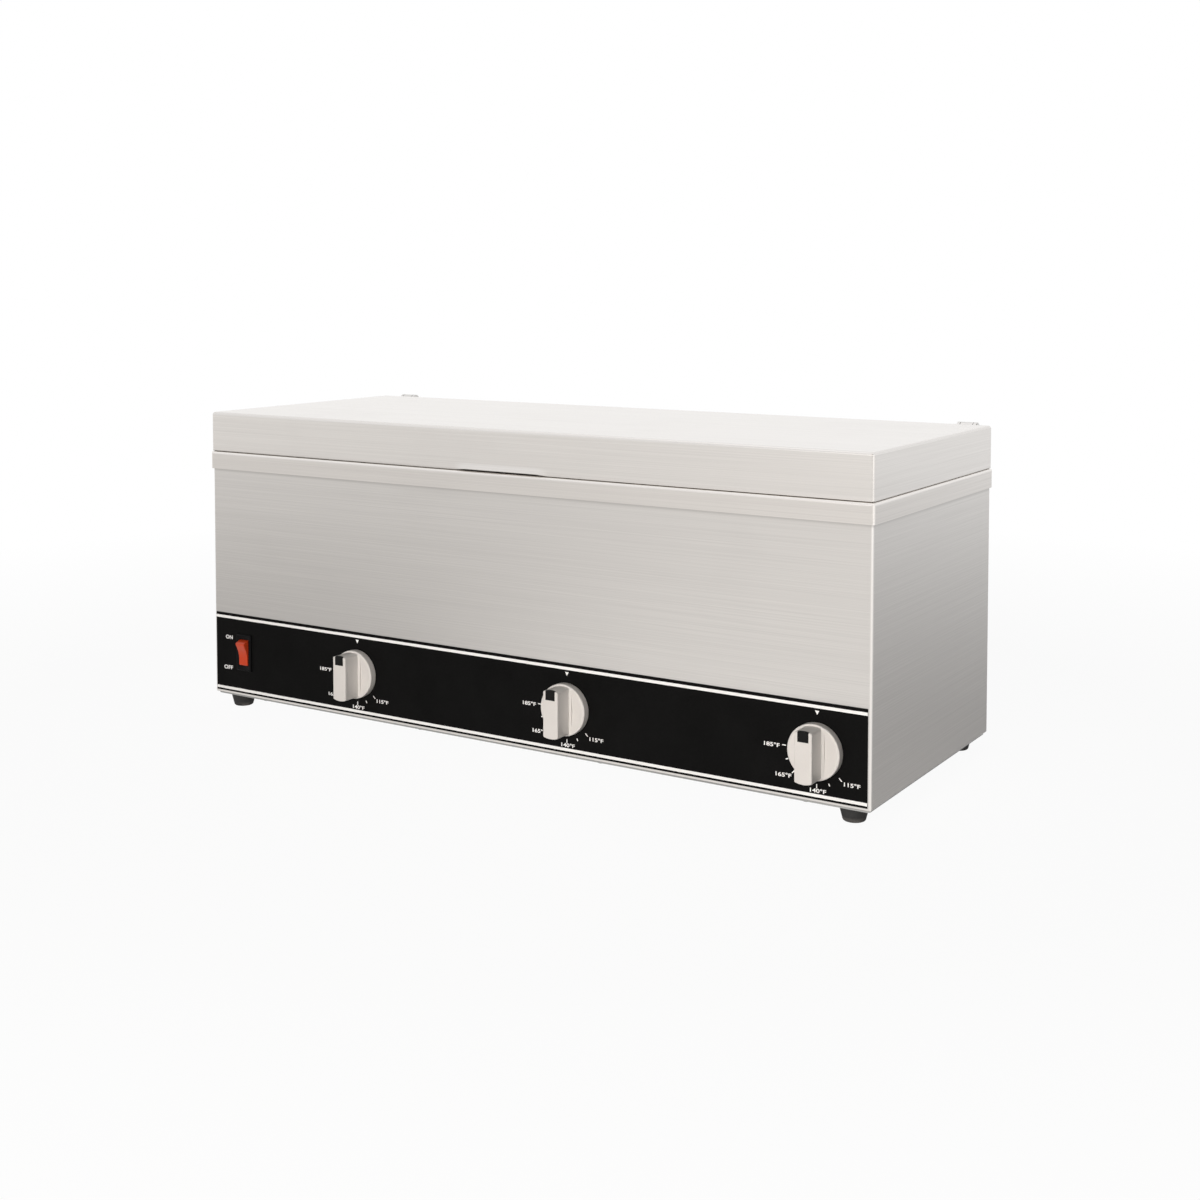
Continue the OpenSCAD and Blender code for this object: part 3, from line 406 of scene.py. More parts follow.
# Foot screws and nuts: cross-recess pan-head screws in zinc-plated steel.
# Each goes up through a foot and the base plate into a plain hexagon nut.
def draw_out(shape, faces, step):
    """Extrudes faces by a step and returns the faces at its end."""
    edges = list(dict.fromkeys(edge for face in faces for edge in face.edges))
    made = bmesh.ops.extrude_face_region(shape, geom=[*faces, *edges])["geom"]
    moved = [part for part in made if isinstance(part, bmesh.types.BMVert)]
    bmesh.ops.translate(shape, vec=step, verts=moved)
    return [part for part in made if isinstance(part, bmesh.types.BMFace)]


def round_edges(shape, edges, width, segments):
    """Rounds edges off, as far as a width from each."""
    bmesh.ops.bevel(shape, geom=edges, offset=width, segments=segments, profile=0.5, affect="EDGES",
                    material=-1)


def cut(shape, faces, point, normal, trim=False):
    """Cuts faces along a plane, and trims off what lies beyond it if asked."""
    edges = dict.fromkeys(edge for face in faces for edge in face.edges)
    points = dict.fromkeys(vert for face in faces for vert in face.verts)
    bmesh.ops.bisect_plane(shape, geom=[*faces, *edges, *points], plane_co=point, plane_no=normal,
                           clear_outer=trim)


def at_height(shape, height):
    """The faces of a shape that lie level at a height."""
    return [face for face in shape.faces if abs(face.calc_center_median().z - height) < TINY]


def pan_screw(head_r, head_h, shank_r, length):
    """A pan-head screw with a cross recess, its head up and its seat at the origin."""
    arm = 0.5 * head_r
    slot = 0.12 * head_r
    recess = 0.5 * head_h
    shape = bmesh.new()
    bmesh.ops.create_circle(shape, cap_ends=True, radius=head_r, segments=32)
    crown = draw_out(shape, shape.faces[:], (0.0, 0.0, head_h))
    round_edges(shape, crown[0].edges[:], 0.45 * head_h, 4)
    for axis in (Vector((1.0, 0.0, 0.0)), Vector((0.0, 1.0, 0.0))):
        for reach in (-arm, -slot, slot, arm):
            cut(shape, at_height(shape, head_h), axis * reach, axis)
    cross = []
    for face in at_height(shape, head_h):
        middle = face.calc_center_median()
        near, far = sorted((abs(middle.x), abs(middle.y)))
        if near < slot and far < arm:
            cross.append(face)
    draw_out(shape, cross, (0.0, 0.0, -recess))
    seat = at_height(shape, 0.0)
    bmesh.ops.inset_region(shape, faces=seat, thickness=head_r - shank_r, use_even_offset=True)
    seat = [min(at_height(shape, 0.0), key=lambda face: face.calc_center_median().length)]
    tip = draw_out(shape, seat, (0.0, 0.0, -length))
    round_edges(shape, tip[0].edges[:], 0.3 * shank_r, 2)
    bmesh.ops.recalc_face_normals(shape, faces=shape.faces[:])
    return shape


def put(mesh, shape, place):
    """Moves a shape to its place and adds it to a piece's mesh."""
    shape.transform(place)
    data = bpy.data.meshes.new("shape")
    shape.to_mesh(data)
    shape.free()
    mesh.from_mesh(data)
    bpy.data.meshes.remove(data)


SCREW_TURN = math.radians(37.0)


def fasten(name, node, places, outwards, *sizes):
    """One piece of like screws, seated at their places, heads outwards and each turned its own way."""
    mesh = bmesh.new()
    for count, place in enumerate(places):
        turned = Matrix.Rotation(SCREW_TURN * count, 4, "Z")
        put(mesh, pan_screw(*sizes), Matrix.Translation(place) @ outwards @ turned)
    finish_piece(mesh, name, screw_steel, "casing", "screw_steel", node)


heads_down = Matrix.Rotation(math.radians(180), 4, "X")
heads_back = Matrix.Rotation(math.radians(-90), 4, "X")
FOOT_SCREW = (4.0 * MM, 3.0 * MM, 2.0 * MM, 11.2 * MM)
screw_steel = brushed_steel("screw_steel", (0.52, 0.52, 0.51), (0.66, 0.66, 0.65), 0.3, lines=2500.0)
fasten("foot_screw_set", "foot_screws", foot_places, heads_down, *FOOT_SCREW)
dress(screw_steel, "foot_nuts")


# Casing wrap: the front and both sides of the body, folded from one sheet of stainless steel.
# The sheet is brushed before it is folded, so the lines run level round it, and its upper edge is
# tucked under the deck's collar. A thin darker band just under the collar's edge is painted shade, and the
# folded edges get a lighter colour, partly wear and partly painted highlight.
COLLAR_H = 14.9 * MM
collar_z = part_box("top_deck")[1].z - COLLAR_H
casing_steel = brushed_steel(
    "casing_steel", (0.645, 0.625, 0.605), (0.73, 0.708, 0.686), 0.36, worn_and_highlight=(0.86, 0.835, 0.81),
    stain_and_painted_light=(0.5, 0.483, 0.465), Low=collar_z - 0.8 * MM, High=collar_z + 0.5 * MM, Soft=1.8 * MM,
)
dress(casing_steel, "body_wrap")


# Top deck: the flat top round the pans, with a collar turned down over the wrap and spot welded.
# It is the same brushed sheet; its colour is set a little lighter than the wrap's, which is painted light,
# and its folded edges get a lighter colour, partly wear and partly painted highlight.
deck_steel = brushed_steel("deck_steel", (0.678, 0.65, 0.624), (0.763, 0.733, 0.704), 0.34,
                           worn_and_highlight=(0.86, 0.828, 0.797))
dress(deck_steel, "top_deck")


# Wells: three drawn stainless tubs that hang in the deck's openings and hold the pans.
# The heater under each floor has tempered the steel there to a straw colour.
well_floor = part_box("well_left")[0].z
well_steel = brushed_steel(
    "well_steel", (0.47, 0.46, 0.44), (0.57, 0.56, 0.54), 0.4, lines=700.0,
    stain_and_painted_light=(0.44, 0.33, 0.17), Low=well_floor - 1.0 * MM, High=well_floor + 6.0 * MM, Soft=24.0 * MM,
)
dress(well_steel, "well_left", "well_middle", "well_right")


# Heater plates: aluminium plates with the heating wire cast in, one under each well.
# A nut on the well's stud holds each plate up, and its skin is left as it came from the mould.
heater_alloy = moulded("heater_alloy", (0.42, 0.42, 0.42), (0.6, 0.6, 0.59), 0.5, grain=900.0, Metallic=1.0)
dress(heater_alloy, "heater_left", "heater_middle", "heater_right")
dress(screw_steel, "heater_nuts")


# Sensor bulbs: copper bulbs in sleeves on the wells, with thin capillary tubes to the thermostats.
# The copper is dulled by heat, darker in patches.
sensor_copper = moulded("sensor_copper", (0.36, 0.17, 0.1), (0.66, 0.36, 0.24), 0.38, grain=700.0,
                        Metallic=1.0)
dress(sensor_copper, "sensor_left", "sensor_middle", "sensor_right")


# Thermostats: one behind the front for each well, in a case moulded from black phenolic.
# Each is clamped through the front by a plated nut on its threaded bush.
thermostat_case = moulded("thermostat_case", (0.03, 0.03, 0.032), (0.06, 0.06, 0.064), 0.4)
dress(thermostat_case, "thermostat_left", "thermostat_middle", "thermostat_right")
dress(screw_steel, "thermostat_nuts")


# Terminal block: an ivory plastic moulding where the mains lead meets the inner wiring.
# It sits on the base plate, low down and away from the heaters.
terminal_ivory = moulded("terminal_ivory", (0.6, 0.56, 0.46), (0.68, 0.64, 0.54), 0.5)
dress(terminal_ivory, "terminal_block")


# Rear panel: a flat brushed sheet with punched vents that closes the casing's back.
# Eight small pan-head screws hold it, and six more hold the base plate from below.
dress(casing_steel, "rear_panel")
SMALL_SCREW = (3.0 * MM, 2.0 * MM, 1.6 * MM, 6.0 * MM)
PANEL_SIDE_X = 285.5 * MM
PANEL_SIDE_Z = (38.0 * MM, 108.0 * MM, 178.0 * MM)
PANEL_FOOT_X = 130.0 * MM
PANEL_FOOT_Z = 22.0 * MM
BASE_FRONT_X = (85.0 * MM, 252.0 * MM)
BASE_FRONT_Y = -102.05 * MM
BASE_SIDE_X = 294.5 * MM
BASE_SIDE_Y = 4.45 * MM
panel_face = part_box("rear_panel")[1].y
base_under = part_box("base_plate")[0].z
panel_places = [(side * PANEL_SIDE_X, panel_face, z) for side in (-1, 1) for z in PANEL_SIDE_Z]
panel_places += [(side * PANEL_FOOT_X, panel_face, PANEL_FOOT_Z) for side in (-1, 1)]
fasten("panel_screw_set", "panel_screws", panel_places, heads_back, *SMALL_SCREW)
base_places = [(side * x, BASE_FRONT_Y, base_under) for side in (-1, 1) for x in BASE_FRONT_X]
base_places += [(side * BASE_SIDE_X, BASE_SIDE_Y, base_under) for side in (-1, 1)]
fasten("base_screw_set", "base_screws", base_places, heads_down, *SMALL_SCREW)


# Cord gland: a black nylon gland for the mains lead, with a hexagon body and a domed clamping nut.
# A locknut on its shank grips the rear panel from inside.
def sharp_edges(shape, least=30.0):
    """The edges of a shape that turn by more than an angle in degrees."""
    shape.normal_update()
    return [edge for edge in shape.edges if edge.calc_face_angle(0.0) > math.radians(least)]


gland_black = moulded("gland_black", (0.014, 0.014, 0.015), (0.03, 0.03, 0.031), 0.45)
GLAND_HEX_R = 12.0 * MM
GLAND_HEX_T = 5.0 * MM
GLAND_WALL = 3.0 * MM
GLAND_EDGE = 0.6 * MM
GLAND_DOME_R = 9.0 * MM
GLAND_CROWN = 2.6 * MM
GLAND_SHANK_R = 8.0 * MM
GLAND_BORE_R = 4.2 * MM
GLAND_LIP = 1.0 * MM
low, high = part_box("cord_gland")
gland_place = Matrix.Translation(((low.x + high.x) / 2, panel_face, (low.z + high.z) / 2)) @ heads_back
gland_in = low.y - panel_face
gland_out = high.y - panel_face
gland = bmesh.new()
hexagon = bmesh.new()
bmesh.ops.create_circle(hexagon, cap_ends=True, radius=GLAND_HEX_R, segments=6)
draw_out(hexagon, hexagon.faces[:], (0.0, 0.0, GLAND_HEX_T))
bmesh.ops.recalc_face_normals(hexagon, faces=hexagon.faces[:])
round_edges(hexagon, sharp_edges(hexagon), GLAND_EDGE, 3)
ends = at_height(hexagon, 0.0) + at_height(hexagon, GLAND_HEX_T)
rims = bmesh.ops.inset_individual(hexagon, faces=ends, thickness=GLAND_WALL, use_even_offset=True)["faces"]
inner = [face for face in at_height(hexagon, 0.0) + at_height(hexagon, GLAND_HEX_T) if face not in rims]
loops = list(dict.fromkeys(edge for face in inner for edge in face.edges))
bmesh.ops.delete(hexagon, geom=inner, context="FACES_ONLY")
bmesh.ops.bridge_loops(hexagon, edges=loops)
bmesh.ops.recalc_face_normals(hexagon, faces=hexagon.faces[:])
put(gland, hexagon, gland_place)
dome_foot = 0.8 * GLAND_HEX_T
dome = lathe((
    (GLAND_BORE_R, gland_in), (GLAND_SHANK_R, gland_in, GLAND_EDGE), (GLAND_SHANK_R, dome_foot),
    (GLAND_DOME_R, dome_foot), (GLAND_DOME_R, gland_out, GLAND_CROWN), (GLAND_BORE_R, gland_out, GLAND_LIP),
))
put(gland, dome, gland_place)
finish_piece(gland, "nylon_gland", gland_black, "casing", "gland_black", "cord_gland")
dress(gland_black, "gland_locknut")


# Control overlay: a satin black plastic film along the foot of the front, stuck down all over.
# It is punched for the switch and for the three spindles.
overlay_black = moulded("overlay_black", (0.004, 0.004, 0.004), (0.007, 0.007, 0.007), 0.4, grain=900.0,
                        Specular_IOR_Level=0.03)
dress(overlay_black, "control_overlay")


# Printing on the overlay: two white lines, an arrow over each knob, the dial marks and ON and OFF.
# It is screen printed in white ink, so it stands a few hundredths of a millimetre off the film.
print_white = moulded("print_white", (0.86, 0.86, 0.855), (0.93, 0.93, 0.925), 0.5)
overlay_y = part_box("control_overlay")[0].y
INK = 0.06 * MM
BODY_EDGE_Z = 12.0 * MM
LINE_W = 601.8 * MM
LINE_H = 2.2 * MM
LINE_Z = (5.3 * MM, 66.6 * MM)
KNOB_Z = 48.5 * MM
KNOB_X = (-143.0 * MM, 60.5 * MM, 264.0 * MM)
MARKS = 7
FIRST_MARK = math.radians(135.0)
MARK_STEP = math.radians(22.5)
MARK_IN = 23.2 * MM
MARK_W = 0.7 * MM
LONG_MARK = 2.9 * MM
SHORT_MARK = 1.9 * MM
ARROW_R = 1.9 * MM
ARROW_Z = 62.9 * MM
DIAL_WORD = (12.0 * MM, 3.0 * MM)
DIAL_WORDS = (
    ("115°F", 26.0 * MM, -20.0 * MM), ("140°F", 1.0 * MM, -27.7 * MM),
    ("165°F", -25.0 * MM, -20.7 * MM), ("185°F", -34.0 * MM, -0.8 * MM),
)
SWITCH_WORDS = (
    ("ON", -286.1 * MM, 61.4 * MM, 7.8 * MM, 3.3 * MM),
    ("OFF", -287.2 * MM, 35.2 * MM, 10.2 * MM, 3.4 * MM),
)
upright = Matrix.Rotation(math.radians(90), 4, "X")


def print_bar(mesh, x, z, width, height, turn=0.0):
    """A printed bar whose middle is at (x, z) on the overlay, turned clockwise."""
    made = bmesh.ops.create_cube(mesh, size=1.0)["verts"]
    place = Matrix.Translation((x, overlay_y - INK / 2, z)) @ Matrix.Rotation(turn, 4, "Y")
    bmesh.ops.transform(mesh, matrix=place @ Matrix.Diagonal((width, INK, height, 1.0)), verts=made)


def print_words(mesh, words, x, z, width, height):
    """Words printed on the overlay, fitted into a box whose middle is at (x, z)."""
    curve = bpy.data.curves.new("words", "FONT")
    curve.body = words
    curve.size = height
    curve.extrude = INK / 2
    curve.offset = 0.02 * height
    shown = bpy.data.objects.new("words", curve)
    bpy.context.scene.collection.objects.link(shown)
    bpy.context.view_layer.update()
    data = bpy.data.meshes.new_from_object(shown.evaluated_get(bpy.context.evaluated_depsgraph_get()))
    bpy.data.objects.remove(shown)
    bpy.data.curves.remove(curve)
    low = [min(vert.co[axis] for vert in data.vertices) for axis in (0, 1)]
    high = [max(vert.co[axis] for vert in data.vertices) for axis in (0, 1)]
    fit = Matrix.Diagonal((width / (high[0] - low[0]), height / (high[1] - low[1]), 1.0, 1.0))
    middle = Matrix.Translation((-(low[0] + high[0]) / 2, -(low[1] + high[1]) / 2, 0.0))
    data.transform(Matrix.Translation((x, overlay_y - INK / 2, z)) @ upright @ fit @ middle)
    mesh.from_mesh(data)
    bpy.data.meshes.remove(data)


marks = bmesh.new()
for line_z in LINE_Z:
    print_bar(marks, 0.0, BODY_EDGE_Z + line_z, LINE_W, LINE_H)
for knob_x in KNOB_X:
    for step in range(MARKS):
        turn = FIRST_MARK + MARK_STEP * step
        length = LONG_MARK if step % 2 == 0 else SHORT_MARK
        reach = MARK_IN + length / 2
        across = reach * math.sin(turn)
        up = reach * math.cos(turn)
        print_bar(marks, knob_x + across, KNOB_Z + up, MARK_W, length, turn)
    for words, across, up in DIAL_WORDS:
        print_words(marks, words, knob_x + across, KNOB_Z + up, *DIAL_WORD)
    arrow = bmesh.new()
    bmesh.ops.create_circle(arrow, cap_ends=True, radius=ARROW_R, segments=3)
    draw_out(arrow, arrow.faces[:], (0.0, 0.0, INK))
    bmesh.ops.recalc_face_normals(arrow, faces=arrow.faces[:])
    point_down = Matrix.Rotation(math.radians(-60), 4, "Z")
    put(marks, arrow, Matrix.Translation((knob_x, overlay_y, BODY_EDGE_Z + ARROW_Z)) @ upright @ point_down)
for words_at in SWITCH_WORDS:
    print_words(marks, *words_at)
bmesh.ops.remove_doubles(marks, verts=marks.verts[:], dist=0.01 * MM)
bmesh.ops.recalc_face_normals(marks, faces=marks.faces[:])
finish_piece(marks, "overlay_print", print_white, "casing", "overlay_black")


# Knobs: warm grey moulded dials with a dished round skirt, hollow at the back, and a straight grip bar
# with a low ledge along its foot. Each is pressed onto the flatted brass spindle of its thermostat and
# turns with it.
spindle_brass = moulded("spindle_brass", (0.56, 0.43, 0.2), (0.72, 0.58, 0.3), 0.3, Metallic=1.0)
dress(spindle_brass, "spindle_left", "spindle_middle", "spindle_right")
knob_grey = moulded("knob_grey", (0.65, 0.625, 0.6), (0.72, 0.693, 0.665), 0.36, Specular_IOR_Level=0.8)
KNOB_GAP = 0.4 * MM
SKIRT_R = 19.5 * MM
SKIRT_H = 6.2 * MM
SKIRT_EDGE = 1.0 * MM
FINE_EDGE = 0.3 * MM
HOLLOW_R = 11.5 * MM
HOLLOW_DEPTH = 2.6 * MM
HOLLOW_EDGE = 0.6 * MM
GRIP_W = 13.0 * MM
GRIP_R = 18.2 * MM
GRIP_LEDGE = 1.7 * MM
GRIP_RISE = 0.5 * MM
GRIP_ROOT = 1.8 * MM
DISH = 2.6 * MM
DISH_RIM = 2.2 * MM
KNOB_H = 22.0 * MM
GRIP_EDGE = 0.9 * MM


def knob_shape():
    """A dial with its back at the origin, its axis along Z and its bar along Y."""
    knob = lathe((
        (0.0, HOLLOW_DEPTH), (HOLLOW_R, HOLLOW_DEPTH, HOLLOW_EDGE), (HOLLOW_R, 0.0, FINE_EDGE),
        (SKIRT_R, 0.0, FINE_EDGE), (SKIRT_R, SKIRT_H, SKIRT_EDGE),
        (SKIRT_R - DISH_RIM, SKIRT_H, FINE_EDGE), (0.0, SKIRT_H - DISH),
    ), 96)
    bar = bmesh.new()
    bmesh.ops.create_circle(bar, cap_ends=True, radius=GRIP_R, segments=120)
    for side in (-1, 1):
        cut(bar, bar.faces[:], (side * GRIP_W / 2, 0.0, 0.0), (side, 0.0, 0.0), trim=True)
    draw_out(bar, bar.faces[:], (0.0, 0.0, KNOB_H - SKIRT_H + GRIP_ROOT))
    bmesh.ops.recalc_face_normals(bar, faces=bar.faces[:])
    for height in (GRIP_ROOT, GRIP_ROOT + GRIP_RISE):
        cut(bar, bar.faces[:], (0.0, 0.0, height), (0.0, 0.0, 1.0))
    foot = [vert for vert in bar.verts if vert.co.z < GRIP_ROOT + 0.5 * GRIP_RISE]
    bmesh.ops.scale(bar, vec=(1.0 + 2.0 * GRIP_LEDGE / GRIP_W, 1.0, 1.0), verts=foot)
    upper = [edge for edge in sharp_edges(bar) if max(vert.co.z for vert in edge.verts) > SKIRT_H]
    round_edges(bar, upper, GRIP_EDGE, 4)
    put(knob, bar, Matrix.Translation((0.0, 0.0, SKIRT_H - GRIP_ROOT)))
    return knob


knob_places = {}
for place, knob_x in zip(("left", "middle", "right"), KNOB_X):
    knob_places[place] = Matrix.Translation((knob_x, overlay_y - KNOB_GAP, KNOB_Z)) @ upright
    knob = knob_shape()
    knob.transform(knob_places[place])
    finish_piece(knob, "dial_" + place, knob_grey, "knob_" + place, "knob_grey", "knob_" + place)


# Pointers: small black mouldings, one let into the top end of each grip bar.
# Each is pressed in a hair proud of the bar, and its outer end follows the bar's rounded edge.
pointer_black = moulded("pointer_black", (0.003, 0.003, 0.003), (0.006, 0.006, 0.006), 0.5,
                        Specular_IOR_Level=0.15)
POINTER_W = 8.2 * MM
POINTER_L = 7.4 * MM
POINTER_T = 1.8 * MM
POINTER_PROUD = 0.06 * MM
for place, knob_place in knob_places.items():
    tip = bmesh.new()
    bmesh.ops.create_circle(tip, cap_ends=True, radius=GRIP_R + POINTER_PROUD, segments=96)
    for side in (-1, 1):
        cut(tip, tip.faces[:], (side * POINTER_W / 2, 0.0, 0.0), (side, 0.0, 0.0), trim=True)
    cut(tip, tip.faces[:], (0.0, GRIP_R - POINTER_L, 0.0), (0.0, -1.0, 0.0), trim=True)
    draw_out(tip, tip.faces[:], (0.0, 0.0, POINTER_T))
    bmesh.ops.recalc_face_normals(tip, faces=tip.faces[:])
    ends = []
    for edge in sharp_edges(tip):
        first, second = (vert.co for vert in edge.verts)
        if min(first.z, second.z) > 0.5 * POINTER_T and min(first.y, second.y) > 0.9 * GRIP_R:
            ends.append(edge)
    round_edges(tip, ends, GRIP_EDGE, 4)
    tip.transform(knob_place @ Matrix.Translation((0.0, 0.0, KNOB_H + POINTER_PROUD - POINTER_T)))
    finish_piece(tip, "dial_tip_" + place, pointer_black, "knob_" + place, "pointer_black",
                 "pointer_" + place)


# Switch case: a black nylon case pushed through the front, with a bezel that frames the rocker.
# The bezel's face slopes in to the mouth, and the rocker pivots in the sides of the cavity.
switch_black = moulded("switch_black", (0.003, 0.003, 0.0032), (0.006, 0.006, 0.0065), 0.38,
                       Specular_IOR_Level=0.08)
SWITCH_X = -268.0 * MM
SWITCH_Z = 50.0 * MM
BEZEL = (16.4 * MM, 31.0 * MM, 2.0 * MM)
BEZEL_EDGE = 0.8 * MM
BEZEL_RIM = 0.8 * MM
MOUTH = (10.4 * MM, 22.8 * MM)
MOUTH_DIP = 0.7 * MM
CAVITY = 12.0 * MM
CASE = (14.8 * MM, 28.0 * MM, 24.0 * MM)
CASE_STEP = 0.5 * MM
switch_place = Matrix.Translation((SWITCH_X, overlay_y, SWITCH_Z)) @ upright


def fit_face(shape, faces, width, height):
    """Scales faces that lie round the Z axis to a width and a height."""
    points = list(dict.fromkeys(vert for face in faces for vert in face.verts))
    reach_x = max(abs(vert.co.x) for vert in points)
    reach_y = max(abs(vert.co.y) for vert in points)
    bmesh.ops.scale(shape, vec=(width / 2 / reach_x, height / 2 / reach_y, 1.0), verts=points)


case = bmesh.new()
bmesh.ops.create_cube(case, size=1.0, matrix=Matrix.Diagonal((*BEZEL, 1.0)))
case.transform(Matrix.Translation((0.0, 0.0, BEZEL[2] / 2)))
round_edges(case, at_height(case, BEZEL[2])[0].edges[:], BEZEL_EDGE, 4)
front = [max(at_height(case, BEZEL[2]), key=lambda face: face.calc_area())]
bmesh.ops.inset_region(case, faces=front, thickness=BEZEL_RIM, use_even_offset=True)
mouth = draw_out(case, front, (0.0, 0.0, -MOUTH_DIP))
fit_face(case, mouth, *MOUTH)
draw_out(case, mouth, (0.0, 0.0, -CAVITY))
back = [max(at_height(case, 0.0), key=lambda face: face.calc_area())]
bmesh.ops.inset_region(case, faces=back, thickness=CASE_STEP, use_even_offset=True)
fit_face(case, back, *CASE[:2])
draw_out(case, back, (0.0, 0.0, -CASE[2]))
bmesh.ops.recalc_face_normals(case, faces=case.faces[:])
case.transform(switch_place)
finish_piece(case, "switch_body", switch_black, "casing", "switch_black", "switch_case")


# Rocker: a glossy red moulding with two sloping faces, on stub axles in the switch case.
# It rests with its top out, and its noses are rounded where the finger presses.
rocker_red = moulded("rocker_red", (0.5, 0.042, 0.01), (0.6, 0.06, 0.014), 0.2, depth=0.004 * MM,
                     Specular_IOR_Level=0.25, Coat_Weight=0.15, Coat_Roughness=0.06)
ROCKER_R = 11.0 * MM
ROCKER_W = 9.6 * MM
ROCKER_FACE = 3.0 * MM
ROCKER_BACK = 5.0 * MM
ROCKER_TILT = math.radians(13.0)
ROCKER_SINK = 0.5 * MM
ROCKER_EDGE = 0.6 * MM
ROCKER_WELD = 0.2 * MM
NOSE_R = 2.6 * MM
VALLEY_R = 4.5 * MM
STUB_R = 1.5 * MM
STUB_ROOT = 0.3 * ROCKER_W
STUB_END = ROCKER_W / 2 + 0.9 * MM
STUB_EDGE = 0.3 * MM
rocker = bmesh.new()
bmesh.ops.create_circle(rocker, cap_ends=True, radius=ROCKER_R, segments=96)
slope = (math.cos(ROCKER_TILT), -math.sin(ROCKER_TILT), 0.0)
cut(rocker, rocker.faces[:], (0.0, 0.0, 0.0), (0.0, -1.0, 0.0), trim=True)
cut(rocker, rocker.faces[:], (ROCKER_FACE, 0.0, 0.0), slope, trim=True)
cut(rocker, rocker.faces[:], (-ROCKER_BACK, 0.0, 0.0), (-1.0, 0.0, 0.0), trim=True)
half = rocker.verts[:] + rocker.edges[:] + rocker.faces[:]
bmesh.ops.mirror(rocker, geom=half, axis="Y", merge_dist=TINY)
bmesh.ops.recalc_face_normals(rocker, faces=rocker.faces[:])
draw_out(rocker, rocker.faces[:], (0.0, 0.0, ROCKER_W))
bmesh.ops.recalc_face_normals(rocker, faces=rocker.faces[:])
ridges = []
valley = []
for edge in sharp_edges(rocker, 20.0):
    first, second = (vert.co for vert in edge.verts)
    if abs(first.z - second.z) > 0.5 * ROCKER_W and first.x > 0.9 * ROCKER_FACE:
        (ridges if abs(first.y) > 0.5 * ROCKER_R else valley).append(edge)
round_edges(rocker, ridges, NOSE_R, 8)
round_edges(rocker, valley, VALLEY_R, 8)
bmesh.ops.remove_doubles(rocker, verts=rocker.verts[:], dist=ROCKER_WELD)
round_edges(rocker, sharp_edges(rocker, 40.0), ROCKER_EDGE, 3)
rocker.transform(Matrix.Translation((0.0, 0.0, -ROCKER_W / 2)))
for side in (-1, 1):
    stub = lathe((
        (0.0, STUB_ROOT), (STUB_R, STUB_ROOT), (STUB_R, STUB_END, STUB_EDGE), (0.0, STUB_END),
    ), 24)
    put(rocker, stub, Matrix.Rotation(math.radians(90.0 - 90.0 * side), 4, "X"))
lean = Matrix.Rotation(-ROCKER_TILT, 4, "Z")
face_out = Matrix(((0.0, 0.0, -1.0), (0.0, 1.0, 0.0), (1.0, 0.0, 0.0))).to_4x4()
rocker.transform(switch_place @ Matrix.Translation((0.0, 0.0, -ROCKER_SINK)) @ face_out @ lean)
finish_piece(rocker, "rocker_cap", rocker_red, "rocker", "rocker_red", "rocker")


# Pans: three removable sixth-size pans, deep drawn from stainless sheet with rolled rims.
# They rest by their rims on the deck, over the wells.
pan_steel = brushed_steel("pan_steel", (0.62, 0.61, 0.59), (0.7, 0.69, 0.665), 0.24, lines=1500.0)
dress(pan_steel, "pan_left", "pan_middle", "pan_right")


# Hinges: two pressed steel brackets on the collar's back, with lugs on the lid between their cheeks.
# A headed pin goes through each bracket and its lug, and two screws hold each bracket.
hinge_steel = brushed_steel("hinge_steel", (0.6, 0.584, 0.568), (0.72, 0.702, 0.684), 0.34, lines=1200.0)
dress(hinge_steel, "hinge_bracket_left", "hinge_bracket_right", "hinge_lug_left", "hinge_lug_right")
PIN_R = 2.0 * MM
PIN_HEAD_R = 4.0 * MM
PIN_HEAD_T = 1.0 * MM
PIN_TIP = 0.5 * MM
PIN_CROWN = 0.6 * MM
PIN_SEAT = 0.15 * MM
HINGE_X = 281.5 * MM
HINGE_SCREW_X = 14.0 * MM
HINGE_SCREW_Z = 213.15 * MM
HINGE_SCREW_L = 8.8 * MM
for place, side in (("left", -1), ("right", 1)):
    low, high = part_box("hinge_pin_" + place)
    length = high.x - low.x
    seat = length - PIN_HEAD_T
    pin = lathe((
        (0.0, 0.0), (PIN_R, 0.0, PIN_TIP), (PIN_R, seat), (PIN_HEAD_R, seat, PIN_SEAT),
        (PIN_HEAD_R, length, PIN_CROWN), (0.0, length),
    ))
    start = (low.x if side > 0 else high.x, (low.y + high.y) / 2, (low.z + high.z) / 2)
    pin.transform(Matrix.Translation(start) @ Matrix.Rotation(math.radians(90 * side), 4, "Y"))
    finish_piece(pin, "headed_pin_" + place, screw_steel, "casing", "hinge_steel", "hinge_pin_" + place)
bracket_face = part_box("hinge_screws")[0].y + HINGE_SCREW_L
hinge_places = []
for side in (-1, 1):
    for step in (-HINGE_SCREW_X, HINGE_SCREW_X):
        hinge_places.append((side * (HINGE_X + step), bracket_face, HINGE_SCREW_Z))
fasten("hinge_screw_set", "hinge_screws", hinge_places, heads_back, *SMALL_SCREW[:3], HINGE_SCREW_L)


